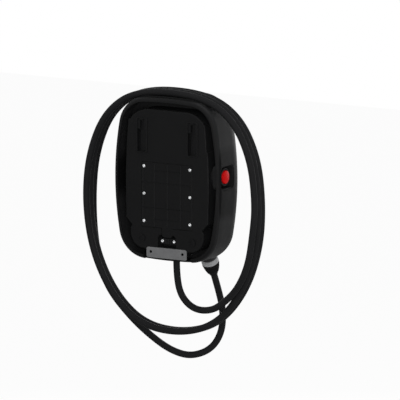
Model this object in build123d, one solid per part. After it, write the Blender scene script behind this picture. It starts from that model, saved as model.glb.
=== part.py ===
"""EV wallbox with a tethered charging lead looped over its top.

Millimetres, +Z up. The wall is the plane y = 0 and the box stands out from it towards -Y.
"Depth" below always means distance out from the wall, so a depth of 30 is y = -30.
Heights are drawn from the cover's middle, and each finished piece is then raised so that z = 0
lies midway between the bracket's two holes.
"""
import os
from math import cos, pi, radians, sin, sqrt, tan

from build123d import *

# Outer cover
cover_width = 286.0
cover_height = 386.0
cover_depth = 126.0
cover_wall = 3.0
side_bow = 24.0
end_bow = 7.0
corner_round = 73.0
front_round = 58.0
rear_round = 11.0
rim_width = 10.0
rim_thickness = 4.0
inner_rear_round = 4.5
notch_half_width = 64.0
notch_depth = 16.0
cover_boss_radius = 5.5
cover_fit = 0.5
cover_screw_top_share = 0.35
cover_screw_bottom_x = 33.0
cover_screw_sink = 4.0
cover_screw_upper_share = 0.415
cover_screw_lower_share = -0.32

# Rear housing, the box's back
back_half_width = cover_width / 2 - 31.0
back_top = cover_height / 2 - 29.0
back_bottom = 27.0 - cover_height / 2
back_top_round = 63.0
back_bottom_round = 36.0
back_crown_inset = 14.0
back_shoulder_drop = 26.0
back_shoulder_round = 3.0
back_widest_drop = 184.0
back_bow_radius = 1617.0
back_step = 3.0
back_step_drop = 90.0
back_waist_rise = 70.0
back_neck_rise = 53.0
back_neck_inset = 18.0
back_foot_rise = 46.0
back_foot_inset = 13.5
back_edge_round = 2.2
back_face = 2.0
back_wall = 3.0
housing_depth = 76.0
flange_depth = 58.0
flange_thickness = 4.0
spacer_radius = 8.8
spacer_share = 0.607
spacer_rise = 24.0
spacer_dimple_radius = 5.6
spacer_dimple_depth = 1.0

# Keyhole hangers
hanger_inset = 44.0
hanger_width = 31.0
hanger_height = 83.0
hanger_drop = 104.0
hanger_face = 0.3
hanger_wall = 1.5
hanger_opening_width = 21.5
hanger_opening_height = 53.5
hanger_sill = 2.7
hanger_slot_width = 6.5
hanger_slot_height = 21.0
hanger_head_room = 2.5
hanger_skin = 3.5
hanger_lip_width = 2.0
hanger_lip_height = 1.1
hanger_cup_depth = 16.0
hanger_fit = 0.2
hanger_dot_radius = 1.8
hanger_dot_x = 6.6
hanger_dot_drop = 4.2
hanger_dot_depth = 2.4
hanger_edge_round = 1.2
hanger_corner = 4.0

# Access cover in the back
access_inset = 43.5
access_gap = 20.5
access_rise = 51.2
access_round = 4.0
access_edge_round = 0.8
access_tongue_half_width = 14.5
access_tongue_length = 21.6
access_tongue_round = 8.0
access_face = 2.6
access_thickness = 2.4
access_fit = 0.4
access_ledge = 12.5
access_rim = 3.0
access_rib_share = 0.511
access_rib_radius = 3.2
access_rib_height = 1.4
access_rib_end = 2.5
access_groove_width = 1.4
access_groove_depth = 0.9
access_groove_shares = (0.313, 0.701)
access_short_groove_shares = (0.126, 0.874)
access_screw_inset = 6.7
access_screw_top_inset = 10.6
access_screw_rows = 3
access_screw_pitch_share = 0.42
access_gasket_width = 2.8
access_gasket_thickness = 1.0

# Fasteners
screw_head_radius = 3.9
screw_head_height = 2.0
screw_radius = 2.0
screw_recess_radius = 1.7
screw_recess_depth = 1.2
screw_length = 9.0
screw_fit = 0.05
screw_tip_room = 1.0
hexagon_sides = 6
boss_radius = 4.8
head_round_share = 0.6

# Steel wall bracket
bracket_half_width = 54.0
bracket_height = 24.6
bracket_thickness = 2.0
bracket_corner = 5.0
bracket_lap = 5.0
bracket_hole_radius = 3.3
bracket_hole_spacing = 85.0
bracket_hole_drop = 11.0
bracket_leg_half_width = 46.0
bracket_leg_depth = 26.0
bracket_screw_x = 36.0
bracket_screw_depth = 15.0

# Supply cable clamp in its recess
clamp_recess_half_width = 24.5
clamp_recess_cut = 6.0
clamp_recess_rise = 36.0
clamp_recess_height = 30.5
clamp_recess_depth = 29.0
clamp_recess_wall = 2.5
clamp_half_width = 22.0
clamp_height = 13.0
clamp_round = 3.2
clamp_drop = 0.5
clamp_rib_pitch = 6.2
clamp_rib_radius = 2.2
clamp_bar_start = 9.0
clamp_bar_thickness = 6.0
clamp_base_thickness = 6.0
clamp_grip_radius = 8.5
clamp_grip_bite = 3.0
clamp_screw_spacing = 31.5
grommet_depth = 19.5
grommet_radius = 9.2
grommet_neck_radius = 7.2
grommet_bore = 4.0
grommet_flange = 2.0
grommet_fit = 0.1

# Inner lid
lid_gasket_thickness = 1.2
lid_thickness = 2.8
lid_screw_inset = 6.5
lid_screw_end_share = 0.535
lid_screw_upper_share = 0.24
lid_screw_lower_share = -0.32
lid_boss_depth = 16.0
lid_ridge_height = 1.6
lid_ridge_width = 3.0
lid_ridge_half_length = 70.0
lid_ridge_rise = 56.0
lid_ridge_pitch = 14.0
lid_ridge_count = 4

# Power board and what stands on it
board_thickness = 1.6
power_board_depth = 19.4
power_board_inset = 20.0
power_board_drop = 26.0
power_board_rise = 54.0
post_inset = 5.0
contactor_share = 0.25
contactor_height_share = 0.232
contactor_depth = 42.0
contactor_gap = 8.0
contactor_rise_share = 0.696
contactor_step = 9.0
sensor_radius = 24.0
sensor_bore = 11.0
sensor_depth = 18.0
sensor_share = 0.24
sensor_rise_share = 0.368
choke_radius = 19.0
choke_bore = 8.0
choke_depth = 16.0
choke_share = -0.163
choke_rise_share = 0.352
ring_edge_round = 3.0
transformer_width = 34.0
transformer_height = 30.0
transformer_depth = 28.0
transformer_inset = 21.0
transformer_drop = 30.0
transformer_flange = 4.0
capacitor_radius = 9.0
capacitor_depth = 30.0
capacitor_inset = 20.0
capacitor_pitch = 21.0
capacitor_rise_share = 0.696
capacitor_count = 3
fuse_radius = 3.5
fuse_length = 26.0
fuse_clip_width = 5.0
fuse_clip_height = 9.0
fuse_drop = 18.0
terminal_share = 0.076
terminal_count = 5
terminal_height = 24.0
terminal_depth = 28.0
terminal_middle_share = 0.25
terminal_rise = 26.0
terminal_wire_share = 0.33
terminal_screw_radius = 3.2
terminal_screw_length = 8.0
terminal_wire_radius = 3.6

# Control board on the lid, with the reader coil and the light board in front of it
control_inset = 46.0
control_height = 120.0
control_drop = 140.0
control_standoff = 6.0
module_size = 30.0
module_depth = 4.0
module_share = -0.36
module_rise = 22.0
radio_width = 22.0
radio_height = 30.0
radio_share = 0.5
can_round = 1.0
coil_size = 56.0
coil_drop = 74.0
coil_width = 3.0
coil_height = 0.6
coil_board_depth = 117.0
column_radius = 3.0
light_board_height = 12.0

# Front panel and light bar
panel_inset = 71.0
panel_drop = 61.0
panel_gap = 34.0
panel_round = 26.0
panel_thickness = 2.6
panel_seat = 1.6
panel_fit = 0.3
panel_edge = 0.8
light_share = 0.61
light_height = 7.0
light_drop = 28.0
light_flange = 2.0
light_flange_thickness = 1.6
light_tail = 2.4

# Cable seat on top of the cover
seat_inset = 35.0
seat_start = 8.5
seat_width = 59.0
seat_rise = 2.6
seat_round = 82.0
seat_fit = 0.2
seat_lip_height = 9.0
seat_lip_thickness = 3.5
seat_lip_inset = 10.0
seat_screw_x = 50.0
seat_screw_bite = 1.6

# Charging lead and its gland
lead_diameter = 16.0
gland_depth = 47.0
gland_thread_radius = 12.5
gland_collar_radius = 16.5
gland_collar_height = 6.0
gland_nut_radius = 17.5
gland_nut_height = 6.0
gland_thread_rise = 12.0
gland_thread_drop = 9.0
gland_dome_radius = 14.5
gland_dome_tip_radius = 10.5
gland_dome_taper = 9.0
gland_mouth_radius = 7.0
gland_bore_radius = 8.6
gland_seal_height = 4.0
gland_fit = 0.08
gland_gap = 0.5
gland_reach = 28.0
gland_hole_room = 1.0
lap_count = 3
lap_first_depth = 19.0
lap_pitch = 16.8
# The route below is drawn round these two half sizes and stretches with the cover and its seat
drawn_half_width = 143.0
drawn_half_height = 203.6
# The lap's route, as X, Z and the share of one pitch it has moved out from the wall
lap_points = (
    (-228, -40, 0.0),
    (-214, 68, 0.0),
    (-165, 158, 0.02),
    (-78, 204, 0.05),
    (88, 204, 0.1),
    (176, 147, 0.13),
    (222, 45, 0.17),
    (233, -72, 0.22),
    (214, -190, 0.32),
    (162, -290, 0.45),
    (86, -354, 0.58),
    (-20, -366, 0.72),
    (-116, -336, 0.84),
    (-186, -252, 0.93),
    (-222, -147, 0.98),
)
lead_start_points = (
    (0, -47, -238),
    (-15, -46, -282),
    (-55, -42, -306),
    (-101, -34, -305),
    (-141, -24, -281),
    (-182, -15, -244),
    (-211, -14, -187),
    (-222, -16, -116),
)
lead_end_points = (
    (226, -64, -188),
    (210, -90, -282),
    (176, -143, -362),
    (126, -181, -417),
    (105, -213, -447),
    (72, -242, -458),
    (38, -269, -443),
    (17, -283, -404),
    (10, -278, -352),
)
lead_end_run = 54.8
last_lap_points = 8
bend_share = 0.45

# Charging connector and its holster
connector_tilt = 28.0
plug_tilt = 20.0
collar_y = -203.0
collar_drop = 28.0
collar_radius = 19.8
collar_height = 9.0
collar_round = 1.4
boot_length = 28.5
boot_radius = 19.2
boot_step_radius = 17.6
boot_step = 4.0
boot_neck_radius = 10.2
boot_tip_radius = 9.4
boot_cone = 19.0
handle_length = 105.0
handle_root_radius = 19.0
handle_grip_width = 17.5
handle_grip_thickness = 16.0
handle_grip_shares = (0.3, 0.64)
handle_swell = 1.12
handle_elbow_radius = 27.0
handle_head_radius = 31.0
handle_head_reach = 18.0
nose_radius = 28.0
nose_wall = 3.4
nose_end = 50.0
nose_flat = 22.5
nose_bore_start = 26.0
carrier_length = 18.0
carrier_fit = 0.3
pin_radius = 3.0
small_pin_radius = 1.9
pin_circle = 12.5
pin_turns = (180.0, 240.0, 300.0, 360.0)
small_pin_x = 7.0
small_pin_height = 15.0
pin_length = 14.0
pin_fit = 0.05
holster_wall = 4.0
holster_fit = 0.3
holster_start = 21.0
holster_room = 1.0
holster_floor = 3.0
holster_half_width = 46.0
holster_rise = 113.0
holster_height = 78.0
holster_plate_depth = 109.0
holster_plate_thickness = 3.0
holster_plate_round = 6.0
holster_screw_inset = 7.0
holster_gap = 0.4

# Stop button on the side
stop_depth = 37.0
stop_z = 14.0
stop_window = 58.0
stop_window_round = 11.0
stop_pocket_fit = 0.3
stop_pocket_wall = 2.5
stop_pocket_sink = 2.0
stop_pocket_room = 19.0
stop_flange_size = 62.0
stop_flange_sink = 4.8
stop_flange_thickness = 2.0
stop_boss_radius = 23.5
stop_pad_rise = 1.0
stop_pad_inset = 4.5
stop_seal_thickness = 1.4
stop_ring_radius = 21.5
stop_ring_bore = 16.6
stop_ring_height = 14.5
stop_ring_floor = 2.0
stop_barrel_radius = 11.0
stop_barrel_fit = 0.15
stop_barrel_flange_radius = 14.0
stop_barrel_flange = 1.2
stop_barrel_bore = 6.5
stop_barrel_tail = 9.5
stop_barrel_floor = 2.0
stop_nut_radius = 15.0
stop_nut_height = 4.0
stop_block_size = 27.0
stop_block_length = 30.0
stop_block_bore = 4.4
stop_block_bore_depth = 14.0
stop_travel = 4.0
stop_head_radius = 15.5
stop_head_rise = 0.5
stop_head_dome = 2.6
stop_head_edge = 1.6
stop_head_room = 0.4
stop_grip_count = 12
full_turn = 360.0
right_angle = 90.0
stop_grip_radius = 1.0
stop_plunger_radius = 3.6
stop_plunger_fit = 0.06
stop_plunger_tail = 5.5
stop_plunger_seat = 2.4
stop_collar_radius = 6.2
stop_collar_sink = 1.0
stop_collar_thickness = 2.0
spring_wire_radius = 0.7
spring_radius = 5.1
spring_turns = 5
spring_gap = 0.1

# One overrun serves all through cuts
overrun = 2.0

# Places that several pieces share, worked out from the sizes above
half_width = cover_width / 2
half_height = cover_height / 2
front_inside = cover_depth - cover_wall
back_shoulder_height = back_top - back_shoulder_drop
back_widest_height = back_top - back_widest_drop
hanger_bottom = back_top - hanger_drop
hanger_x = back_half_width - hanger_inset
access_half_width = back_half_width - access_inset
access_rib_pitch = access_rib_share * access_half_width
access_top = hanger_bottom - access_gap
access_bottom = back_bottom + access_rise
access_height = access_top - access_bottom
bracket_top = back_bottom + bracket_lap
spacer_x = spacer_share * back_half_width
spacer_z = back_bottom + spacer_rise
clamp_recess_top = back_bottom + clamp_recess_rise
clamp_recess_z = clamp_recess_top - clamp_recess_height / 2
power_board_half_width = back_half_width - power_board_inset
power_board_width = 2 * power_board_half_width
power_board_top = back_top - power_board_drop
power_board_bottom = back_bottom + power_board_rise
power_board_height = power_board_top - power_board_bottom
contactor_width = contactor_share * power_board_width
contactor_height = contactor_height_share * power_board_height
contactor_z = power_board_bottom + contactor_rise_share * power_board_height
sensor_x = sensor_share * power_board_width
sensor_z = power_board_bottom + sensor_rise_share * power_board_height
choke_x = choke_share * power_board_width
choke_z = power_board_bottom + choke_rise_share * power_board_height
transformer_x = power_board_half_width - transformer_inset
transformer_z = power_board_top - transformer_drop
capacitor_x = capacitor_inset - power_board_half_width
capacitor_z = power_board_bottom + capacitor_rise_share * power_board_height
fuse_z = power_board_top - fuse_drop
terminal_pitch = terminal_share * power_board_width
terminal_x = terminal_middle_share * power_board_width
terminal_z = power_board_bottom + terminal_rise
holster_top = holster_rise - half_height
holster_bottom = holster_top - holster_height
panel_half_width = half_width - panel_inset
panel_top = half_height - panel_drop
panel_bottom = holster_top + panel_gap
light_half_width = light_share * panel_half_width
light_z = panel_top - light_drop
coil_z = panel_top - coil_drop
control_half_width = back_half_width - control_inset
control_bottom = panel_top - control_drop
module_z = control_bottom + module_rise
module_x = module_share * control_half_width
radio_x = radio_share * control_half_width
lid_ridge_z = back_bottom + lid_ridge_rise
collar_z = -half_height - collar_drop
gland_end = back_bottom - gland_reach
seat_half_width = half_width - seat_inset
stop_pocket_outer = half_width - stop_pocket_sink
stop_pocket_inner = stop_pocket_outer - stop_pocket_room
stop_flange_outer = half_width - stop_flange_sink
stop_pad_face = back_half_width + stop_pad_rise
stop_nut_seat = back_half_width - stop_pad_inset
stop_barrel_end = back_half_width - stop_barrel_tail
stop_head_front = stop_pocket_outer + stop_head_rise
stop_plunger_tip = stop_barrel_end - stop_plunger_tail
stop_collar_outer = stop_pocket_inner - stop_collar_sink
flange_front = flange_depth + flange_thickness
back_inside = back_face + back_wall
access_back = access_face + access_thickness
access_seat = access_back + access_gasket_thickness
lid_start = housing_depth + lid_gasket_thickness
lid_front = lid_start + lid_thickness
power_front = power_board_depth + board_thickness
control_back = lid_front + control_standoff
control_front = control_back + board_thickness
coil_front = coil_board_depth + board_thickness
panel_start = cover_depth - panel_seat
panel_front = panel_start + panel_thickness
clamp_z = clamp_recess_z - clamp_drop
hanger_opening_bottom = hanger_bottom + hanger_sill
hanger_opening_top = hanger_opening_bottom + hanger_opening_height
hanger_slot_top = hanger_opening_top + hanger_slot_height
hanger_cavity_top = hanger_slot_top + hanger_head_room
holster_bore = nose_radius + holster_fit
holster_radius = holster_bore + holster_wall
holster_end = nose_end + holster_room + holster_floor
stop_ring_outer = stop_pocket_inner + stop_ring_height
stop_barrel_seat = stop_pocket_inner + stop_ring_floor
stop_barrel_front = stop_barrel_seat + stop_barrel_flange
stop_head_back = stop_barrel_front + stop_head_room + stop_travel


def symmetric(places):
    """Repeat a list of places on both sides of the box's centre plane."""
    return [(side * x, z) for x, z in places for side in (-1, 1)]


cover_screw_x = (back_half_width + half_width - cover_wall) / 2
cover_screw_places = symmetric(
    [
        (cover_screw_top_share * half_width, (back_top + half_height - cover_wall) / 2),
        (cover_screw_x, cover_screw_upper_share * half_height),
        (cover_screw_x, cover_screw_lower_share * half_height),
        (cover_screw_bottom_x, (back_bottom - half_height + cover_wall) / 2 - cover_screw_sink),
    ]
)
access_screw_places = symmetric(
    [
        (
            access_half_width - access_screw_inset,
            access_top - access_screw_top_inset - row * access_screw_pitch_share * access_height,
        )
        for row in range(access_screw_rows)
    ]
)
lid_screw_places = symmetric(
    [
        (lid_screw_end_share * back_half_width, back_top - lid_screw_inset),
        (back_half_width - lid_screw_inset, lid_screw_upper_share * half_height),
        (back_half_width - lid_screw_inset, lid_screw_lower_share * half_height),
        (lid_screw_end_share * back_half_width, back_bottom + lid_screw_inset),
    ]
)
power_screw_places = symmetric(
    [
        (power_board_half_width - post_inset, power_board_top - post_inset),
        (power_board_half_width - post_inset, power_board_bottom + post_inset),
    ]
)
control_post_places = symmetric(
    [
        (control_half_width - post_inset, control_bottom + control_height - post_inset),
        (control_half_width - post_inset, control_bottom + post_inset),
    ]
)
holster_screw_places = symmetric(
    [
        (holster_half_width - holster_screw_inset, holster_top - holster_screw_inset),
        (holster_half_width - holster_screw_inset, holster_bottom + holster_screw_inset),
    ]
)


def slab(outline, start, end):
    """Extrude an outline that lies parallel to the wall from one depth to another."""
    return extrude(Plane.XZ.offset(start) * outline, amount=end - start)


def block(x, z, width, height, start, end):
    """A rectangular block centred on x and z, between two depths."""
    return slab(Pos(x, z) * Rectangle(width, height), start, end)


def post(x, z, radius, start, end):
    """A round post standing out from the wall."""
    return slab(Pos(x, z) * Circle(radius), start, end)


def upright(x, depth, radius, bottom, top):
    """A vertical round bar at a depth."""
    return extrude(Plane.XY.offset(bottom) * Pos(x, -depth) * Circle(radius), amount=top - bottom)


def stop_plane(distance):
    """The plane across the stop button's axis at a distance from the centre plane, facing inwards."""
    return Plane(origin=(-distance, -stop_depth, stop_z), x_dir=(0, -1, 0), z_dir=(1, 0, 0))


def stop_disc(radius, outer, inner):
    """A disc on the stop button's axis."""
    return extrude(stop_plane(outer) * Circle(radius), amount=outer - inner)


def stop_box(size, corner, outer, inner):
    """A round-cornered square block on the stop button's axis."""
    return extrude(stop_plane(outer) * RectangleRounded(size, size, corner), amount=outer - inner)


def cushion(inset, corner=corner_round):
    """The cover's outline, a rectangle with bowed sides and large corners, set in by a distance."""
    half_x = half_width - inset
    half_z = half_height - inset
    corner_x = half_x - side_bow
    corner_z = half_z - end_bow
    right = ThreePointArc((corner_x, -corner_z), (half_x, 0), (corner_x, corner_z))
    top = ThreePointArc((corner_x, corner_z), (0, half_z), (-corner_x, corner_z))
    left = ThreePointArc((-corner_x, corner_z), (-half_x, 0), (-corner_x, -corner_z))
    bottom = ThreePointArc((-corner_x, -corner_z), (0, -half_z), (corner_x, -corner_z))
    face = make_face([right, top, left, bottom])
    return fillet(face.vertices(), corner - inset)


def cushion_block(inset, start, end, front, rear):
    """The cover's cushion form between two depths, with rounded front and rear edges."""
    solid = slab(cushion(inset), start, end)
    solid = fillet(solid.faces().sort_by(Axis.Y)[0].edges(), front)
    return fillet(solid.faces().sort_by(Axis.Y)[-1].edges(), rear)


def back_side(height):
    """Half the back's width at a height on its bowed sides."""
    return back_half_width - (height - back_widest_height) ** 2 / (2 * back_bow_radius)


def side_arc(side, inset, bottom, top):
    """The run of one bowed side between two heights, set in by a distance."""
    middle = (bottom + top) / 2
    heights = (bottom, middle, top)
    return ThreePointArc(*[(side * (back_side(height) - inset), height) for height in heights])


def back_outline(inset):
    """The rear housing's outline: arched crown, bowed sides, a waist and a foot, set in by a distance."""
    top = back_top - inset
    bottom = back_bottom + inset
    crown_half = back_half_width - inset
    crown = Pos(0, top / 2) * Rectangle(2 * crown_half, top)
    crown = fillet(crown.vertices().sort_by(Axis.Y)[-2:], back_top_round - inset)
    crown = crown & Pos(0, top / 2) * Rectangle(2 * (crown_half - back_crown_inset), top)
    foot_half = back_half_width - back_foot_inset - inset
    foot_top = back_bottom + back_foot_rise
    foot = Pos(0, (bottom + foot_top) / 2) * Rectangle(2 * foot_half, foot_top - bottom)
    foot = fillet(foot.vertices().sort_by(Axis.Y)[:2], back_bottom_round - inset)
    shoulder = back_shoulder_height - inset
    waist = back_bottom + back_waist_rise
    neck_x = back_half_width - back_neck_inset - inset
    neck_z = back_bottom + back_neck_rise
    step = back_top - back_step_drop - inset
    plain_side = side_arc(1, inset, waist, shoulder)
    lower_side = side_arc(-1, inset, waist, step)
    upper_side = side_arc(-1, inset + back_step, step, shoulder)
    across = Line(upper_side @ 1, plain_side @ 1)
    jog = Line(lower_side @ 1, upper_side @ 0)
    waistline = Polyline(
        plain_side @ 0,
        (neck_x, neck_z),
        (foot_half, foot_top),
        (-foot_half, foot_top),
        (-neck_x, neck_z),
        lower_side @ 0,
    )
    band = make_face([plain_side, across, upper_side, jog, lower_side, waistline])
    band = fillet(band.vertices().sort_by(Axis.Y)[-2:], back_shoulder_round)
    return crown + foot + band


def access_outline(grow):
    """The access cover's outline with its tongue, grown by a distance."""
    middle = (access_top + access_bottom) / 2
    plate = Pos(0, middle) * Rectangle(2 * (access_half_width + grow), access_height + 2 * grow)
    plate = fillet(plate.vertices(), access_round + grow)
    tongue_top = access_bottom + access_round
    tongue_bottom = access_bottom - access_tongue_length - grow
    tongue_middle = (tongue_top + tongue_bottom) / 2
    tongue = Pos(0, tongue_middle) * Rectangle(
        2 * (access_tongue_half_width + grow), tongue_top - tongue_bottom
    )
    tongue = fillet(tongue.vertices().sort_by(Axis.Y)[:2], access_tongue_round)
    return plate + tongue


def access_window(grow):
    """The opening behind the access cover, inside its ledge."""
    reach = grow - access_ledge
    height = access_height + 2 * reach
    middle = (access_top + access_bottom) / 2
    return Pos(0, middle) * RectangleRounded(2 * (access_half_width + reach), height, access_round)


def panel_outline(grow):
    """The front panel's outline, grown by a distance."""
    height = panel_top - panel_bottom + 2 * grow
    middle = (panel_top + panel_bottom) / 2
    return Pos(0, middle) * RectangleRounded(2 * (panel_half_width + grow), height, panel_round + grow)


def pan_screw(length):
    """A pan-head screw along +Z, its head on top of the origin plane, with a hexagon recess."""
    profile = Polyline(
        (0, -length),
        (screw_radius, -length),
        (screw_radius, 0),
        (screw_head_radius, 0),
        (screw_head_radius, screw_head_height),
        (0, screw_head_height),
        close=True,
    )
    rim = max(make_face(profile).vertices(), key=lambda v: v.X + v.Y)
    outline = fillet([rim], screw_head_height * head_round_share)
    body = revolve(Plane.XZ * outline, Axis.Z)
    recess_plane = Plane.XY.offset(screw_head_height - screw_recess_depth)
    recess = recess_plane * RegularPolygon(screw_recess_radius, hexagon_sides)
    return body - extrude(recess, amount=screw_head_height)


def wall_side_screw(x, z, seat, length):
    """A screw whose head faces the wall, seated at a depth."""
    return Plane(origin=(x, -seat, z), x_dir=(1, 0, 0), z_dir=(0, 1, 0)) * pan_screw(length)


def front_side_screw(x, z, seat, length):
    """A screw whose head faces the front, seated at a depth."""
    return Plane(origin=(x, -seat, z), x_dir=(1, 0, 0), z_dir=(0, -1, 0)) * pan_screw(length)


def shank_hole(x, z, start, end):
    """The hole that a screw's shank fills, between two depths."""
    return post(x, z, screw_radius + screw_fit, start, end)


def plug_plane(reach):
    """The plane across the plug's axis at a distance from the handle's elbow, facing the box."""
    rise = radians(plug_tilt)
    elbow = elbow_point()
    centre = (0, elbow[1] + reach * cos(rise), elbow[2] + reach * sin(rise))
    return Plane(origin=centre, x_dir=(1, 0, 0), z_dir=(0, cos(rise), sin(rise)))


def handle_plane(reach):
    """The plane across the handle's axis at a distance above the collar, facing the elbow."""
    lean = radians(connector_tilt)
    centre = (0, collar_y + reach * sin(lean), collar_z + reach * cos(lean))
    return Plane(origin=centre, x_dir=(1, 0, 0), z_dir=(0, sin(lean), cos(lean)))


def elbow_point():
    """Where the handle's axis meets the plug's axis."""
    lean = radians(connector_tilt)
    return (0, collar_y + handle_length * sin(lean), collar_z + handle_length * cos(lean))


def plug_bar(radius, start, end):
    """A round bar on the plug's axis."""
    return extrude(plug_plane(start) * Circle(radius), amount=end - start)


def outer_cover():
    """One-piece moulded cover with bowed sides, a return lip at the back and bosses for its screws."""
    outside = cushion_block(0, 0, cover_depth, front_round, rear_round)
    inside = cushion_block(
        cover_wall, rim_thickness, front_inside, front_round - cover_wall, inner_rear_round
    )
    cover = outside - inside
    cover -= slab(cushion(rim_width), -overrun, rim_thickness + overrun)
    for x, z in cover_screw_places:
        cover += post(x, z, cover_boss_radius, flange_front, cover_depth) & outside
        cover -= shank_hole(x, z, flange_front - overrun, flange_depth + screw_length + screw_tip_room)
    plate_front = holster_plate_depth + holster_plate_thickness
    for x, z in holster_screw_places:
        cover += post(x, z, boss_radius, plate_front, cover_depth) & outside
        cover -= shank_hole(x, z, plate_front - overrun, holster_plate_depth + screw_length + screw_tip_room)
    notch_rise = rim_width + end_bow
    notch_middle = (notch_rise - overrun) / 2 - half_height
    cover -= block(0, notch_middle, 2 * notch_half_width, notch_rise + overrun, -overrun, notch_depth)
    cover -= upright(
        0,
        gland_depth,
        gland_dome_radius + gland_hole_room,
        -half_height - overrun,
        cover_wall + overrun - half_height,
    )
    cover -= stop_box(stop_window, stop_window_round, half_width + overrun, stop_flange_outer - overrun)
    cover -= slab(panel_outline(panel_fit), panel_start, cover_depth + overrun)
    cover -= slab(light_outline(panel_fit), front_inside - overrun, cover_depth + overrun)
    cover -= plug_bar(holster_radius + holster_gap, 0, holster_end)
    for side in (-1, 1):
        cover -= upright(
            side * seat_screw_x,
            seat_start + seat_width / 2,
            screw_radius + screw_fit,
            seat_screw_seat() - overrun,
            half_height + overrun,
        )
    return cover


def seat_screw_seat():
    """The height of the cover's inner face where the seat's screws bear on it."""
    half_x = half_width - cover_wall - side_bow
    bow_radius = (half_x**2 + end_bow**2) / (2 * end_bow)
    drop = bow_radius - sqrt(bow_radius**2 - (seat_screw_x + screw_head_radius) ** 2)
    return half_height - cover_wall - drop


def cable_seat():
    """Shallow saddle that follows the cover's top, with a lip that keeps the laps from sliding off."""
    band = Pos(0, half_height) * Rectangle(2 * seat_half_width, cover_height)
    seat = slab(cushion(-seat_rise, seat_round) & band, seat_start, seat_start + seat_width)
    lip_band = Pos(0, half_height) * Rectangle(2 * (seat_half_width - seat_lip_inset), cover_height)
    lip_end = seat_start + seat_width
    seat += slab(cushion(-seat_rise - seat_lip_height) & lip_band, lip_end - seat_lip_thickness, lip_end)
    seat -= slab(cushion(-seat_fit), seat_start - overrun, lip_end + overrun)
    for side in (-1, 1):
        seat -= upright(
            side * seat_screw_x,
            seat_start + seat_width / 2,
            screw_radius + screw_fit,
            0,
            half_height + seat_screw_bite,
        )
    return seat


def seat_screws():
    """Two screws through the cover's top wall into the seat, heads inside."""
    seat_height = seat_screw_seat()
    length = half_height + seat_screw_bite - screw_fit - seat_height
    depth = seat_start + seat_width / 2
    screws = []
    for side in (-1, 1):
        plane = Plane(origin=(side * seat_screw_x, -depth, seat_height), z_dir=(0, 0, -1))
        screws.append(plane * pan_screw(length))
    return screws


def cover_screws():
    """Screws through the housing's flange into the cover's bosses, heads towards the wall."""
    return [wall_side_screw(x, z, flange_depth, screw_length) for x, z in cover_screw_places]


def housing_shell():
    """The rear housing's tray with its outer flange."""
    tray = slab(back_outline(0), back_face, housing_depth)
    tray = fillet(tray.faces().sort_by(Axis.Y)[-1].edges(), back_edge_round)
    tray += slab(cushion(cover_wall + cover_fit), flange_depth, flange_front)
    tray -= slab(back_outline(back_wall), back_inside, housing_depth + overrun)
    stop_gap = stop_flange_size + 2 * stop_pocket_wall
    tray -= block(
        -(half_width + stop_pocket_inner - stop_boss_radius) / 2 - back_wall,
        stop_z,
        half_width - stop_pocket_inner + stop_boss_radius,
        stop_gap,
        flange_depth - overrun,
        flange_front + overrun,
    ) - slab(back_outline(0), 0, housing_depth)
    return tray


def rear_housing():
    """Back of the box: tray, screw flange, access ledge, clamp recess, posts and bosses."""
    housing = housing_shell()
    housing += slab(access_outline(access_rim), back_face, access_seat + access_rim)
    housing += slab(recess_outline(clamp_recess_wall), back_inside, clamp_recess_depth + clamp_recess_wall)
    housing += stop_disc(stop_boss_radius, stop_pad_face, stop_nut_seat)
    for x, z in access_screw_places:
        housing += post(x, z, boss_radius, access_seat, access_face + screw_length + 2 * screw_tip_room)
    for x, z in power_screw_places:
        housing += post(x, z, boss_radius, back_inside, power_board_depth)
    for x, z in lid_screw_places:
        housing += post(x, z, boss_radius, housing_depth - lid_boss_depth, housing_depth)
    for side in (-1, 1):
        housing += post(side * spacer_x, spacer_z, spacer_radius, 0, back_inside)
        housing -= post(
            side * spacer_x, spacer_z, spacer_dimple_radius, -overrun, spacer_dimple_depth
        )
        housing += upright(
            side * bracket_screw_x, bracket_screw_depth, boss_radius, back_bottom, bracket_boss_top()
        )
        housing += post(side * clamp_screw_spacing / 2, clamp_z, boss_radius, clamp_recess_depth, clamp_tip())
    return housing - housing_openings()


def bracket_boss_top():
    """The top of the bosses that the bracket's screws bite into."""
    return back_bottom - bracket_thickness + screw_length + 2 * screw_tip_room


def clamp_tip():
    """The depth that the clamp's screws and their bosses reach."""
    return clamp_recess_depth + screw_length


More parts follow.
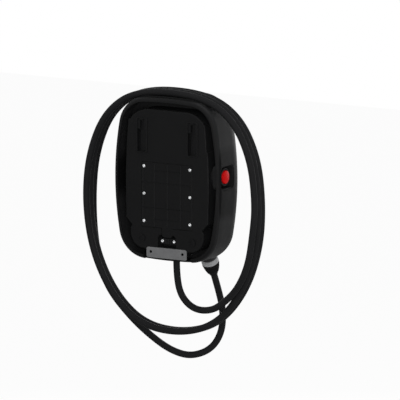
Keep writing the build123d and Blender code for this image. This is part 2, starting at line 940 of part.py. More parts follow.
def housing_openings():
    """Everything that is cut from the rear housing."""
    cuts = slab(access_outline(access_fit), -overrun, access_seat)
    cuts += slab(access_window(0), 0, access_seat + access_rim + overrun)
    cuts += slab(recess_outline(0), -overrun, clamp_recess_depth)
    wall_top = clamp_recess_top + clamp_recess_wall
    cuts += upright(
        0, grommet_depth, grommet_neck_radius + grommet_fit, clamp_recess_top - overrun, wall_top + overrun
    )
    cuts += upright(
        0,
        gland_depth,
        gland_thread_radius + gland_fit,
        back_bottom - overrun,
        back_bottom + back_wall + overrun,
    )
    cuts += upright(
        0,
        gland_depth,
        gland_nut_radius + gland_hole_room,
        -half_height,
        back_bottom,
    )
    cuts += stop_disc(stop_barrel_radius + stop_barrel_fit, stop_pad_face + overrun, stop_nut_seat - overrun)
    for side in (-1, 1):
        cuts += slab(hanger_body(side, hanger_fit), 0, back_inside + overrun)
        cuts += upright(
            side * bracket_screw_x,
            bracket_screw_depth,
            screw_radius + screw_fit,
            back_bottom - overrun,
            bracket_boss_top() - screw_tip_room,
        )
        cuts += shank_hole(
            side * clamp_screw_spacing / 2,
            clamp_z,
            clamp_recess_depth - overrun,
            clamp_tip() - screw_tip_room,
        )
    for x, z in access_screw_places:
        cuts += shank_hole(x, z, access_seat - overrun, access_face + screw_length + screw_tip_room)
    for x, z in power_screw_places:
        cuts += shank_hole(x, z, power_front - screw_length - screw_tip_room, power_board_depth + overrun)
    for x, z in lid_screw_places:
        cuts += shank_hole(x, z, lid_front - screw_length - screw_tip_room, housing_depth + overrun)
    for x, z in cover_screw_places:
        cuts += shank_hole(x, z, flange_depth - overrun, flange_front + overrun)
    return cuts


def recess_outline(grow):
    """The clamp recess with its upper corners cut off slantwise, grown by a distance."""
    width = 2 * (clamp_recess_half_width + grow)
    outline = Pos(0, clamp_recess_z) * Rectangle(width, clamp_recess_height + 2 * grow)
    return chamfer(outline.vertices().sort_by(Axis.Y)[-2:], clamp_recess_cut)


def hanger_body(side, grow):
    """The outline of a hanger's cup where it passes through the housing's back wall."""
    bottom = hanger_opening_bottom - hanger_wall - grow
    top = hanger_cavity_top + hanger_wall + grow
    width = hanger_opening_width + 2 * (hanger_wall + grow)
    return Pos(side * hanger_x, (bottom + top) / 2) * Rectangle(width, top - bottom)


def keyhole_hanger(side):
    """Cup with a wide mouth and a narrow slot above it, which hooks over a screw in the wall."""
    frame = Pos(side * hanger_x, hanger_bottom + hanger_height / 2) * RectangleRounded(
        hanger_width, hanger_height, hanger_corner
    )
    hanger = slab(frame, hanger_face, back_face)
    hanger = fillet(hanger.faces().sort_by(Axis.Y)[-1].edges(), hanger_edge_round)
    hanger += slab(hanger_body(side, 0), hanger_face, hanger_cup_depth + hanger_wall)
    opening_middle = (hanger_opening_bottom + hanger_opening_top) / 2
    hanger -= block(
        side * hanger_x,
        opening_middle,
        hanger_opening_width,
        hanger_opening_height,
        -overrun,
        hanger_cup_depth,
    )
    cavity_middle = (hanger_opening_bottom + hanger_cavity_top) / 2
    cavity_height = hanger_cavity_top - hanger_opening_bottom
    hanger -= block(
        side * hanger_x, cavity_middle, hanger_opening_width, cavity_height, hanger_skin, hanger_cup_depth
    )
    slot = keyhole_slot(side, 0)
    lip = keyhole_slot(side, hanger_lip_width)
    upper = Pos(side * hanger_x, (hanger_opening_top + hanger_cavity_top) / 2) * Rectangle(
        hanger_opening_width, hanger_cavity_top - hanger_opening_top
    )
    hanger -= slab(upper, -overrun, hanger_face + hanger_lip_height) - slab(lip, -overrun, back_inside)
    dot_z = hanger_bottom + hanger_height - hanger_dot_drop
    for place in (-1, 1):
        dot_x = side * hanger_x + place * hanger_dot_x
        hanger -= post(dot_x, dot_z, hanger_dot_radius, -overrun, hanger_face + hanger_dot_depth)
    return hanger - slab(slot, -overrun, hanger_skin + overrun)


def keyhole_slot(side, grow):
    """The narrow slot's outline with its round top, grown by a distance."""
    radius = hanger_slot_width / 2 + grow
    centre = hanger_slot_top - hanger_slot_width / 2
    straight = Pos(side * hanger_x, (hanger_opening_top + centre) / 2) * Rectangle(
        2 * radius, centre - hanger_opening_top
    )
    return straight + Pos(side * hanger_x, centre) * Circle(radius)


def access_cover():
    """Ribbed plate over the opening in the back, with a tongue down to the clamp recess."""
    plate = slab(access_outline(0), access_face, access_back)
    plate = fillet(plate.faces().sort_by(Axis.Y)[-1].edges(), access_edge_round)
    rib_top = access_top - access_rib_end
    rib_bottom = access_bottom + access_rib_end
    edge_rib = access_half_width - access_rib_end
    rib_depth = access_face - access_rib_height + access_rib_radius
    for x in (-edge_rib, -access_rib_pitch, 0, access_rib_pitch, edge_rib):
        rib = upright(x, rib_depth, access_rib_radius, rib_bottom, rib_top)
        plate += rib & slab(access_outline(0), -overrun, access_back)
    groove_floor = access_face + access_groove_depth
    for share in access_groove_shares:
        z = access_top - share * access_height
        plate -= block(0, z, 2 * edge_rib, access_groove_width, -overrun, groove_floor)
    for share in access_short_groove_shares:
        z = access_top - share * access_height
        plate -= block(0, z, 2 * access_rib_pitch, access_groove_width, -overrun, groove_floor)
    for x, z in access_screw_places:
        plate -= post(x, z, screw_head_radius + access_fit, -overrun, access_face)
        plate -= shank_hole(x, z, -overrun, access_back + overrun)
    return plate


def access_gasket():
    """Flat seal between the access cover and its ledge, inside the ring of screws."""
    ring = access_window(access_gasket_width) - access_window(0)
    return slab(ring, access_back, access_seat)


def access_screws():
    """Six pan-head screws of the access cover."""
    return [wall_side_screw(x, z, access_face, screw_length) for x, z in access_screw_places]


def wall_bracket():
    """Folded steel strip: an upright flange with two holes on the wall and a leg under the housing."""
    flange_z = bracket_top - bracket_height / 2
    outline = Pos(0, flange_z) * RectangleRounded(2 * bracket_half_width, bracket_height, bracket_corner)
    bracket = slab(outline, 0, bracket_thickness)
    leg_z = back_bottom - bracket_thickness / 2
    bracket += block(0, leg_z, 2 * bracket_leg_half_width, bracket_thickness, 0, bracket_leg_depth)
    for side in (-1, 1):
        bracket -= post(
            side * bracket_hole_spacing / 2,
            bracket_top - bracket_hole_drop,
            bracket_hole_radius,
            -overrun,
            bracket_thickness + overrun,
        )
        bracket -= upright(
            side * bracket_screw_x,
            bracket_screw_depth,
            screw_radius + screw_fit,
            back_bottom - bracket_thickness - overrun,
            back_bottom + overrun,
        )
    return bracket


def bracket_screws():
    """Two screws that hold the bracket's leg to the housing, heads below."""
    screws = []
    for side in (-1, 1):
        origin = (side * bracket_screw_x, -bracket_screw_depth, back_bottom - bracket_thickness)
        screws.append(Plane(origin=origin, z_dir=(0, 0, -1)) * pan_screw(screw_length))
    return screws


def clamp_piece(start, end, grip_depth):
    """One jaw of the supply cable's clamp, between two depths, with its round grip."""
    outline = Pos(0, clamp_z) * RectangleRounded(2 * clamp_half_width, clamp_height, clamp_round)
    jaw = slab(outline, start, end)
    jaw -= upright(0, grip_depth, clamp_grip_radius, clamp_z - clamp_height, clamp_z + clamp_height)
    for side in (-1, 1):
        jaw -= shank_hole(side * clamp_screw_spacing / 2, clamp_z, start - overrun, end + overrun)
    return jaw


def cable_clamp():
    """The clamp's outer jaw, seen in the recess, with three grip ribs between its screws."""
    end = clamp_bar_start + clamp_bar_thickness
    jaw = clamp_piece(clamp_bar_start, end, end + clamp_grip_radius - clamp_grip_bite)
    rib_bottom = clamp_z - clamp_height / 2
    for x in (-clamp_rib_pitch, 0, clamp_rib_pitch):
        jaw += upright(x, clamp_bar_start, clamp_rib_radius, rib_bottom, rib_bottom + clamp_height)
    return jaw


def clamp_base():
    """The clamp's inner jaw on the recess floor."""
    start = clamp_recess_depth - clamp_base_thickness
    return clamp_piece(start, clamp_recess_depth, start - clamp_grip_radius + clamp_grip_bite)


def clamp_screws():
    """Two long screws through both jaws into the housing."""
    length = clamp_tip() - 2 * screw_tip_room - clamp_bar_start
    return [
        wall_side_screw(side * clamp_screw_spacing / 2, clamp_z, clamp_bar_start, length) for side in (-1, 1)
    ]


def supply_grommet():
    """Rubber grommet where the supply cable enters the housing from the recess."""
    wall_top = clamp_recess_top + clamp_recess_wall
    grommet = upright(0, grommet_depth, grommet_radius, clamp_recess_top - grommet_flange, clamp_recess_top)
    grommet += upright(0, grommet_depth, grommet_neck_radius, clamp_recess_top, wall_top)
    grommet += upright(0, grommet_depth, grommet_radius, wall_top, wall_top + grommet_flange)
    return grommet - upright(
        0, grommet_depth, grommet_bore, clamp_recess_top - 2 * grommet_flange, wall_top + 2 * grommet_flange
    )


def gland_turn(profile):
    """Revolve a radius and height profile about the gland's axis."""
    return Pos(0, -gland_depth, 0) * revolve(Plane.XZ * make_face(Polyline(*profile, close=True)), Axis.Z)


def lead_gland():
    """Gland body: hexagon collar under the housing's floor with threads above and below."""
    collar_bottom = back_bottom - gland_collar_height
    collar_place = Plane.XY.offset(collar_bottom) * Pos(0, -gland_depth)
    collar = collar_place * RegularPolygon(gland_collar_radius, hexagon_sides)
    body = extrude(collar, amount=gland_collar_height)
    body += upright(
        0,
        gland_depth,
        gland_thread_radius,
        collar_bottom - gland_thread_drop,
        back_bottom + gland_thread_rise,
    )
    return body - upright(0, gland_depth, gland_bore_radius, 2 * back_bottom, 0)


def gland_lock_nut():
    """Hexagon nut on the gland's upper thread, inside the housing."""
    seat = back_bottom + back_wall
    outline = Plane.XY.offset(seat) * Pos(0, -gland_depth) * RegularPolygon(gland_nut_radius, hexagon_sides)
    nut = extrude(outline, amount=gland_nut_height)
    return nut - upright(0, gland_depth, gland_thread_radius + gland_fit, seat - overrun, 0)


def gland_dome():
    """Clamping dome on the gland's lower thread, from which the lead hangs."""
    top = back_bottom - gland_collar_height - gland_gap
    thread_end = back_bottom - gland_collar_height - gland_thread_drop
    bore = gland_thread_radius + gland_fit
    seal_end = thread_end - gland_seal_height
    return gland_turn(
        [
            (bore, top),
            (gland_dome_radius, top),
            (gland_dome_radius, gland_end + gland_dome_taper),
            (gland_dome_tip_radius, gland_end),
            (gland_mouth_radius, gland_end),
            (gland_mouth_radius, seal_end),
            (bore, seal_end),
        ]
    )


def gland_seal():
    """Rubber ring squeezed on to the lead between the gland's thread and its dome."""
    top = back_bottom - gland_collar_height - gland_thread_drop
    bottom = top - gland_seal_height
    return gland_turn(
        [
            (gland_bore_radius, bottom),
            (gland_thread_radius, bottom),
            (gland_thread_radius, top),
            (gland_bore_radius, top),
        ]
    )


def lead_route():
    """The lead's route: out of the gland, three laps over the seat, one deep bight, the connector."""
    points = list(lead_start_points)
    for lap in range(lap_count):
        last = last_lap_points if lap == lap_count - 1 else len(lap_points)
        for x, z, share in lap_points[:last]:
            points.append((x, -lap_first_depth - lap_pitch * (lap + share), z))
    points += lead_end_points
    across = half_width / drawn_half_width
    along = (half_height + seat_rise + lead_diameter / 2) / drawn_half_height
    points = [(x * across, y, z * along) for x, y, z in points]
    points.insert(0, (0, -gland_depth, gland_end))
    for reach in (boot_length + lead_end_run, boot_length):
        point = handle_plane(-collar_height / 2 - reach).origin
        points.append((point.X, point.Y, point.Z))
    return points


def lead_radii(points):
    """Each corner's arc, as large as its two runs allow."""
    radii = []
    for before, corner, after in zip(points, points[1:], points[2:]):
        first = Vector(*corner) - Vector(*before)
        second = Vector(*after) - Vector(*corner)
        half_turn = radians(first.get_angle(second)) / 2
        radii.append(bend_share * min(first.length, second.length) / tan(half_turn))
    return radii


def charging_lead():
    """The charging lead, one round tube along its whole route."""
    points = lead_route()
    radii = lead_radii(points)
    path = FilletPolyline(*points, radius=radii)
    start = Plane(origin=path @ 0, z_dir=path % 0)
    lead = sweep(start * Circle(lead_diameter / 2), path=path)
    expected = path.length * pi * (lead_diameter / 2) ** 2
    print(f"lead length {path.length:.0f} mm, volume {lead.volume:.0f} of {expected:.0f} mm3")
    print("lead radii " + " ".join(f"{radius:.0f}" for radius in radii))
    return lead


def connector_collar():
    """Pale ring between the handle and the bend boot."""
    plane = handle_plane(-collar_height / 2)
    collar = extrude(plane * Circle(collar_radius), amount=collar_height)
    return fillet(collar.edges(), collar_round)


def connector_boot():
    """Stepped rubber boot that tapers on to the lead."""
    top = -collar_height / 2
    profile = Polyline(
        (0, top),
        (boot_radius, top),
        (boot_radius, top - boot_step),
        (boot_step_radius, top - boot_step),
        (boot_neck_radius, top - boot_step - boot_cone),
        (boot_tip_radius, top - boot_length),
        (0, top - boot_length),
        close=True,
    )
    plane = handle_plane(0)
    return plane * revolve(Plane.XZ * make_face(profile), Axis.Z)


def connector_handle():
    """Moulded handle that rises from the collar and bends over to the plug."""
    sections = [handle_plane(collar_height / 2) * Circle(handle_root_radius)]
    for swell, share in zip((1, handle_swell), handle_grip_shares):
        grip = Ellipse(handle_grip_width * swell, handle_grip_thickness * swell)
        sections.append(handle_plane(share * handle_length) * grip)
    lean = radians((right_angle - connector_tilt + plug_tilt) / 2)
    elbow = Plane(origin=elbow_point(), x_dir=(1, 0, 0), z_dir=(0, cos(lean), sin(lean)))
    sections.append(elbow * Circle(handle_elbow_radius))
    sections.append(plug_plane(handle_head_reach) * Circle(handle_head_radius))
    return loft(sections)


def connector_nose():
    """Round shroud with a flat on top, open towards the box, which protects the contacts."""
    nose = plug_bar(nose_radius, handle_head_reach, nose_end)
    nose -= plug_bar(nose_radius - nose_wall, nose_bore_start, nose_end + overrun)
    plane = plug_plane(nose_bore_start)
    flat = plane * Pos(0, nose_radius + nose_flat) * Rectangle(2 * nose_radius, 2 * nose_radius)
    roof = plane * Pos(0, nose_flat - nose_wall / 2) * Rectangle(2 * nose_radius, nose_wall)
    shell = plug_bar(nose_radius, nose_bore_start, nose_end)
    length = nose_end - nose_bore_start
    nose += extrude(roof, amount=length) & shell
    return nose - extrude(flat, amount=length + overrun)


def pin_places():
    """Where the contacts stand on the plug's face, with each one's radius."""
    places = [(0, 0, pin_radius)]
    for turn in pin_turns:
        angle = radians(turn)
        places.append((pin_circle * cos(angle), pin_circle * sin(angle) * nose_squash(), pin_radius))
    for side in (-1, 1):
        places.append((side * small_pin_x, small_pin_height - small_pin_radius, small_pin_radius))
    return places


def nose_squash():
    """The lower contacts lie on a slightly flattened circle."""
    return nose_flat / nose_radius


def pin_carrier():
    """Insulating block that fills the nose's root and carries the contacts."""
    radius = nose_radius - nose_wall - carrier_fit
    carrier = plug_bar(radius, nose_bore_start, nose_bore_start + carrier_length)
    plane = plug_plane(nose_bore_start)
    keep = plane * Pos(0, nose_flat - nose_wall - carrier_fit - nose_radius) * Rectangle(
        2 * nose_radius, 2 * nose_radius
    )
    carrier = carrier & extrude(keep, amount=carrier_length)
    pin_plane = plug_plane(nose_bore_start + carrier_length - pin_length)
    for x, z, radius in pin_places():
        hole = pin_plane * Pos(x, z) * Circle(radius + pin_fit)
        carrier -= extrude(hole, amount=pin_length + overrun)
    return carrier


def contact_pins():
    """Seven round contacts in the carrier."""
    pins = []
    for x, z, radius in pin_places():
        foot = plug_plane(nose_bore_start + carrier_length - pin_length) * Pos(x, z) * Circle(radius)
        pins.append(extrude(foot, amount=pin_length))
    return pins


def holster():
    """Tilted cup behind the cover's front that the connector is pushed into."""
    middle = (holster_top + holster_bottom) / 2
    outline = Pos(0, middle) * RectangleRounded(
        2 * holster_half_width, holster_top - holster_bottom, holster_plate_round
    )
    plate_end = holster_plate_depth + holster_plate_thickness
    cup = slab(outline, holster_plate_depth, plate_end)
    cup += plug_bar(holster_radius, holster_start, holster_end)
    cup -= plug_bar(holster_bore, 0, holster_end - holster_floor)
    for x, z in holster_screw_places:
        cup -= shank_hole(x, z, holster_plate_depth - overrun, plate_end + overrun)
    return cup


def holster_screws():
    """Four screws that hold the holster to the cover's bosses."""
    return [wall_side_screw(x, z, holster_plate_depth, screw_length) for x, z in holster_screw_places]


def light_outline(grow):
    """The light bar's slot, grown by a distance."""
    height = light_height + 2 * grow
    return Pos(0, light_z) * SlotOverall(2 * (light_half_width + grow), height)


def front_panel():
    """Glossy panel let into the cover's front, with the light bar's slot."""
    panel = slab(panel_outline(0), panel_start, panel_front)
    panel = chamfer(panel.faces().sort_by(Axis.Y)[0].edges(), panel_edge)
    return panel - slab(light_outline(panel_fit), panel_start - overrun, panel_front + overrun)


def light_bar():
    """Clear bar that brings the status light through the cover and the panel."""
    flange_start = front_inside - light_flange_thickness
    bar = slab(light_outline(0), flange_start - light_tail, panel_front)
    return bar + slab(light_outline(light_flange), flange_start, front_inside)


def light_board():
    """Narrow circuit board behind the light bar."""
    end = front_inside - light_flange_thickness - light_tail
    width = 2 * (light_half_width + light_flange)
    return block(0, light_z, width, light_board_height, end - board_thickness, end)


def inner_lid():
    """Lid that closes the housing, with the control board's standoffs."""
    lid = slab(back_outline(0), lid_start, lid_front)
    for x, z in control_post_places:
        lid += post(x, z, boss_radius, lid_start, control_back)
    ridge_front = lid_front + lid_ridge_height
    for count in range(lid_ridge_count):
        z = lid_ridge_z + count * lid_ridge_pitch
        lid += block(0, z, 2 * lid_ridge_half_length, lid_ridge_width, lid_start, ridge_front)
    for x, z in lid_screw_places:
        lid -= shank_hole(x, z, lid_start - overrun, lid_front + overrun)
    return lid


def lid_gasket():
    """Seal on the housing's front edge."""
    return slab(back_outline(0) - back_outline(back_wall), housing_depth, lid_start)


def lid_screws():
    """Screws around the lid's edge."""
    return [front_side_screw(x, z, lid_front, screw_length) for x, z in lid_screw_places]


def power_board():
    """Main circuit board on the housing's posts."""
    middle = (power_board_top + power_board_bottom) / 2
    board = block(0, middle, power_board_width, power_board_height, power_board_depth, power_front)
    for x, z in power_screw_places:
        board -= shank_hole(x, z, power_board_depth - overrun, power_front + overrun)
    return board


def power_board_screws():
    """Screws at the power board's corners."""
    return [front_side_screw(x, z, power_front, screw_length) for x, z in power_screw_places]


def contactors():
    """Two contactors side by side, each with stepped terminal decks at both ends."""
    pieces = []
    offset = (contactor_width + contactor_gap) / 2
    for side in (-1, 1):
        body = block(
            side * offset,
            contactor_z,
            contactor_width,
            contactor_height,
            power_front,
            power_front + contactor_depth,
        )
        for end in (-1, 1):
            body -= block(
                side * offset,
                contactor_z + end * (contactor_height - contactor_step) / 2,
                contactor_width + overrun,
                contactor_step,
                power_front + contactor_depth - contactor_step,
                power_front + contactor_depth + overrun,
            )
        pieces.append(body)
    return pieces


def wound_ring(x, z, radius, bore, depth):
    """A ring core standing flat on the power board, with rounded edges."""
    ring = post(x, z, radius, power_front, power_front + depth)
    ring -= post(x, z, bore, power_front - overrun, power_front + depth + overrun)
    return fillet(ring.faces().sort_by(Axis.Y)[0].edges(), ring_edge_round)


def current_sensor():
    """Residual-current sensor ring."""
    return wound_ring(sensor_x, sensor_z, sensor_radius, sensor_bore, sensor_depth)


def filter_choke():
    """Ring choke of the mains filter."""
    return wound_ring(choke_x, choke_z, choke_radius, choke_bore, choke_depth)


def transformer():
    """Small supply transformer: core with a wider winding in its middle."""
    core = block(
        transformer_x,
        transformer_z,
        transformer_width,
        transformer_height - 2 * transformer_flange,
        power_front,
        power_front + transformer_depth,
    )
    return core + block(
        transformer_x,
        transformer_z,
        transformer_width - 2 * transformer_flange,
        transformer_height,
        power_front,
        power_front + transformer_depth - transformer_flange,
    )


def capacitors():
    """Three electrolytic capacitors in a row."""
    pieces = []
    for count in range(capacitor_count):
        z = capacitor_z + count * capacitor_pitch
        can = post(capacitor_x, z, capacitor_radius, power_front, power_front + capacitor_depth)
        pieces.append(fillet(can.faces().sort_by(Axis.Y)[0].edges(), can_round))
    return pieces


def fuse():
    """Glass fuse in its two clips."""
    depth = power_front + fuse_clip_height
    tube = Plane(origin=(-fuse_length / 2, -depth, fuse_z), z_dir=(1, 0, 0)) * Circle(fuse_radius)
    body = extrude(tube, amount=fuse_length)
    for side in (-1, 1):
        x = side * (fuse_length - fuse_clip_width) / 2
        body += block(x, fuse_z, fuse_clip_width, 2 * fuse_radius, power_front, depth)
    return body


def terminal_blocks():
    """Supply and output terminal blocks with wire funnels and screw wells."""
    pieces = []
    for side in (-1, 1):
        middle = side * terminal_x
        body = block(
            middle,
            terminal_z,
            terminal_pitch * terminal_count,
            terminal_height,
            power_front,
            power_front + terminal_depth,
        )
        for x in terminal_row(middle):
            body -= post(
                x,
                terminal_z,
                terminal_screw_radius + screw_fit,
                power_front + terminal_depth - terminal_screw_length - screw_tip_room,
                power_front + terminal_depth + overrun,
            )
            body -= upright(
                x,
                power_front + terminal_wire_share * terminal_depth,
                terminal_wire_radius,
                terminal_z - terminal_height,
                terminal_z,
            )
        pieces.append(body)
    return pieces


def terminal_row(middle):
    """The poles' places along one terminal block."""
    return [middle + (count - (terminal_count - 1) / 2) * terminal_pitch for count in range(terminal_count)]


def terminal_screws():
    """Slotted screws down in the terminal blocks' wells."""
    pieces = []
    for side in (-1, 1):
        for x in terminal_row(side * terminal_x):
            top = power_front + terminal_depth - screw_tip_room
            floor = top - screw_tip_room
            screw = post(x, terminal_z, terminal_screw_radius, top - terminal_screw_length, top)
            slot = block(x, terminal_z, 2 * terminal_screw_radius, screw_tip_room, floor, top + overrun)
            pieces.append(screw - slot)
    return pieces


def control_board():
    """Control circuit board on the lid's standoffs."""
    middle = control_bottom + control_height / 2
    return block(0, middle, 2 * control_half_width, control_height, control_back, control_front)


def metal_can(x, z, width, height):
    """A shielding can on the control board."""
    can = block(x, z, width, height, control_front, control_front + module_depth)
    return fillet(can.faces().sort_by(Axis.Y)[0].edges(), can_round)


def processor():
    """Shielded processor."""
    return metal_can(module_x, module_z, module_size, module_size)


def radio_module():
    """Shielded radio module."""
    return metal_can(radio_x, module_z, radio_width, radio_height)


def coil_board():
    """Card reader's coil board close behind the front panel."""
    board = block(0, coil_z, coil_size, coil_size, coil_board_depth, coil_front)
    size = coil_size - coil_width
    loop = Rectangle(size, size) - Rectangle(size - 2 * coil_width, size - 2 * coil_width)
    return board + slab(Pos(0, coil_z) * loop, coil_front, coil_front + coil_height)


def board_columns():
    """Columns that carry the coil board and the light board on the control board."""
    reach = coil_size / 2 - post_inset
    columns = [
        post(across * reach, coil_z + up * reach, column_radius, control_front, coil_board_depth)
        for across in (-1, 1)
        for up in (-1, 1)
    ]
    end = front_inside - light_flange_thickness - light_tail - board_thickness
    for side in (-1, 1):
        x = side * (light_half_width - post_inset)
        columns.append(post(x, light_z, column_radius, control_front, end))
    return columns


def stop_pocket():
    """Moulded pocket let into the cover's side, with a flange behind the wall and a boss to the housing."""
    size = stop_window - 2 * stop_pocket_fit
    corner = stop_window_round - stop_pocket_fit
    floor_back = stop_pocket_inner - stop_pocket_wall
    pocket = stop_box(size, corner, stop_pocket_outer, floor_back)
    flange_inner = stop_flange_outer - stop_flange_thickness
    pocket += stop_box(stop_flange_size, stop_window_round, stop_flange_outer, flange_inner)
    pocket += stop_disc(stop_boss_radius, floor_back, stop_pad_face + stop_seal_thickness)
    inner = size - 2 * stop_pocket_wall
    pocket -= stop_box(inner, corner - stop_pocket_wall, stop_pocket_outer + overrun, stop_pocket_inner)
    return pocket - stop_disc(stop_barrel_radius + stop_barrel_fit, stop_pocket_outer, 0)


def stop_seal():
    """Rubber washer between the pocket's boss and the housing."""
    washer = stop_disc(stop_boss_radius, stop_pad_face + stop_seal_thickness, stop_pad_face)
    return washer - stop_disc(stop_barrel_radius + stop_barrel_fit, stop_pocket_outer, 0)


def stop_ring():
    """Dark guard ring round the stop button."""
    ring = stop_disc(stop_ring_radius, stop_ring_outer, stop_pocket_inner)
    ring -= stop_disc(stop_ring_bore, stop_ring_outer + overrun, stop_barrel_seat)
    ring -= stop_disc(stop_barrel_radius + stop_barrel_fit, stop_ring_outer, 0)
    return chamfer(ring.faces().sort_by(Axis.X)[0].edges(), panel_edge)


def stop_barrel():
    """Threaded barrel that clamps the ring and the pocket to the housing's side wall."""
    barrel = stop_disc(stop_barrel_flange_radius, stop_barrel_front, stop_barrel_seat)
    barrel += stop_disc(stop_barrel_radius, stop_barrel_seat, stop_barrel_end)
    barrel -= stop_disc(stop_barrel_bore, stop_barrel_front + overrun, stop_barrel_end + stop_barrel_floor)
    return barrel - stop_disc(stop_plunger_radius + stop_plunger_fit, stop_barrel_front, 0)


def stop_nut():
    """Hexagon nut on the barrel, inside the housing."""
    outline = stop_plane(stop_nut_seat) * RegularPolygon(stop_nut_radius, hexagon_sides)
    return extrude(outline, amount=stop_nut_height) - stop_disc(stop_barrel_radius + screw_fit, half_width, 0)


def stop_contact_block():
    """Switch contacts behind the barrel, with a bore for the plunger's tip."""
    body = stop_box(stop_block_size, can_round, stop_barrel_end, stop_barrel_end - stop_block_length)
    return body - stop_disc(
        stop_block_bore, stop_barrel_end + overrun, stop_barrel_end - stop_block_bore_depth
    )


def stop_plunger():
    """Rod from the button down to the contacts, with a collar that the spring pushes on."""
    rod = stop_disc(stop_plunger_radius, stop_head_back + stop_plunger_seat, stop_plunger_tip)
    return rod + stop_disc(stop_collar_radius, stop_collar_outer, stop_collar_outer - stop_collar_thickness)


def stop_spring():
    """Return spring between the barrel's floor and the plunger's collar."""
    outer = stop_collar_outer - stop_collar_thickness - spring_wire_radius - spring_gap
    inner = stop_barrel_end + stop_barrel_floor + spring_wire_radius + spring_gap
    coil = Helix(pitch=(outer - inner) / spring_turns, height=outer - inner, radius=spring_radius)
    section = Plane(origin=coil @ 0, z_dir=coil % 0) * Circle(spring_wire_radius)
    wire = sweep(section, path=coil, is_frenet=True)
    return stop_plane(outer) * wire


def stop_head():
    """Domed red button with shallow grips round its edge."""
    thickness = stop_head_front - stop_head_back
    rim = thickness - stop_head_dome
    sphere_radius = (stop_head_radius**2 + stop_head_dome**2) / (2 * stop_head_dome)
    middle = stop_head_radius / 2
    crown = thickness - sphere_radius + sqrt(sphere_radius**2 - middle**2)
    side = Polyline((0, thickness), (0, 0), (stop_head_radius, 0), (stop_head_radius, rim))
    dome = ThreePointArc((stop_head_radius, rim), (middle, crown), (0, thickness))
    outline = make_face([side, dome])
    outline = fillet([max(outline.vertices(), key=lambda v: v.X + v.Y)], stop_head_edge)
    outward = Plane(origin=(-stop_head_back, -stop_depth, stop_z), x_dir=(0, 1, 0), z_dir=(-1, 0, 0))
    head = outward * revolve(Plane.XZ * outline, Axis.Z)
    grip_plane = stop_plane(stop_head_front - stop_head_dome - stop_head_edge)
    for count in range(stop_grip_count):
        angle = radians(full_turn * count / stop_grip_count)
        place = Pos(stop_head_radius * cos(angle), stop_head_radius * sin(angle))
        groove = grip_plane * place * Circle(stop_grip_radius)
        head -= extrude(groove, amount=stop_head_radius)
    bore = stop_plunger_radius + stop_plunger_fit
    return head - stop_disc(bore, stop_head_back + stop_plunger_seat, stop_head_back - overrun)


parts = {
    "outer_cover": outer_cover,
    "cable_seat": cable_seat,
    "seat_screws": seat_screws,
    "cover_screws": cover_screws,
    "rear_housing": rear_housing,
    "keyhole_hanger_left": lambda: keyhole_hanger(-1),
    "keyhole_hanger_right": lambda: keyhole_hanger(1),
    "access_cover": access_cover,
    "access_gasket": access_gasket,
    "access_screws": access_screws,
    "wall_bracket": wall_bracket,
    "bracket_screws": bracket_screws,
    "cable_clamp": cable_clamp,
    "clamp_base": clamp_base,
    "clamp_screws": clamp_screws,
    "supply_grommet": supply_grommet,
    "lead_gland": lead_gland,
    "gland_lock_nut": gland_lock_nut,
    "gland_dome": gland_dome,
    "gland_seal": gland_seal,
    "charging_lead": charging_lead,
    "connector_collar": connector_collar,
    "connector_boot": connector_boot,
    "connector_handle": connector_handle,
    "connector_nose": connector_nose,
    "pin_carrier": pin_carrier,
    "contact_pins": contact_pins,
    "holster": holster,
    "holster_screws": holster_screws,
    "front_panel": front_panel,
    "light_bar": light_bar,
    "light_board": light_board,
    "inner_lid": inner_lid,
    "lid_gasket": lid_gasket,
    "lid_screws": lid_screws,
    "power_board": power_board,
    "power_board_screws": power_board_screws,
    "contactors": contactors,
    "current_sensor": current_sensor,
    "filter_choke": filter_choke,
    "transformer": transformer,
    "capacitors": capacitors,
    "fuse": fuse,
    "terminal_blocks": terminal_blocks,
    "terminal_screws": terminal_screws,
    "control_board": control_board,
    "processor": processor,
    "radio_module": radio_module,
    "coil_board": coil_board,
    "board_columns": board_columns,
    "stop_pocket": stop_pocket,
    "stop_seal": stop_seal,
    "stop_ring": stop_ring,
    "stop_barrel": stop_barrel,
    "stop_nut": stop_nut,
    "stop_contact_block": stop_contact_block,
    "stop_plunger": stop_plunger,
    "stop_spring": stop_spring,
    "stop_head": stop_head,
}

origin_drop = bracket_hole_drop - bracket_top

os.makedirs("parts", exist_ok=True)
for name, make in parts.items():
    piece = make()
    solids = [s for item in piece for s in item.solids()] if isinstance(piece, list) else piece.solids()
    solids = [Pos(0, 0, origin_drop) * solid for solid in solids]
    shape = solids[0] if len(solids) == 1 else Compound(children=solids)
    export_step(shape, f"parts/{name}.step")
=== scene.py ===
from math import cos, pi, radians, sin

import bpy
from mathutils import Matrix, Vector


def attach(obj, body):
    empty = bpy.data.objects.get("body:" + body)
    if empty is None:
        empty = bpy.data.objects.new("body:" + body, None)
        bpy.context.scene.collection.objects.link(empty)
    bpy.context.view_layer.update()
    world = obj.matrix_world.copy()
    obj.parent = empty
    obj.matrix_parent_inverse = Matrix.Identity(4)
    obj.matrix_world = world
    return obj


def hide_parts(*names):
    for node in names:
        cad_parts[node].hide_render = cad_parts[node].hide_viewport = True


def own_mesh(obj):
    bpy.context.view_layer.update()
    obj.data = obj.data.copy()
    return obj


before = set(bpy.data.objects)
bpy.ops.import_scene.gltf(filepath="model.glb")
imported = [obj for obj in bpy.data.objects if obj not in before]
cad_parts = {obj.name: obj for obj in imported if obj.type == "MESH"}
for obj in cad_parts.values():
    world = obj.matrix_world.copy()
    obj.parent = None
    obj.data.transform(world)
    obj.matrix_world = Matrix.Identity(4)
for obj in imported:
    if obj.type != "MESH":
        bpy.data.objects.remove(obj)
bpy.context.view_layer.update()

bpy.ops.object.select_all(action="DESELECT")

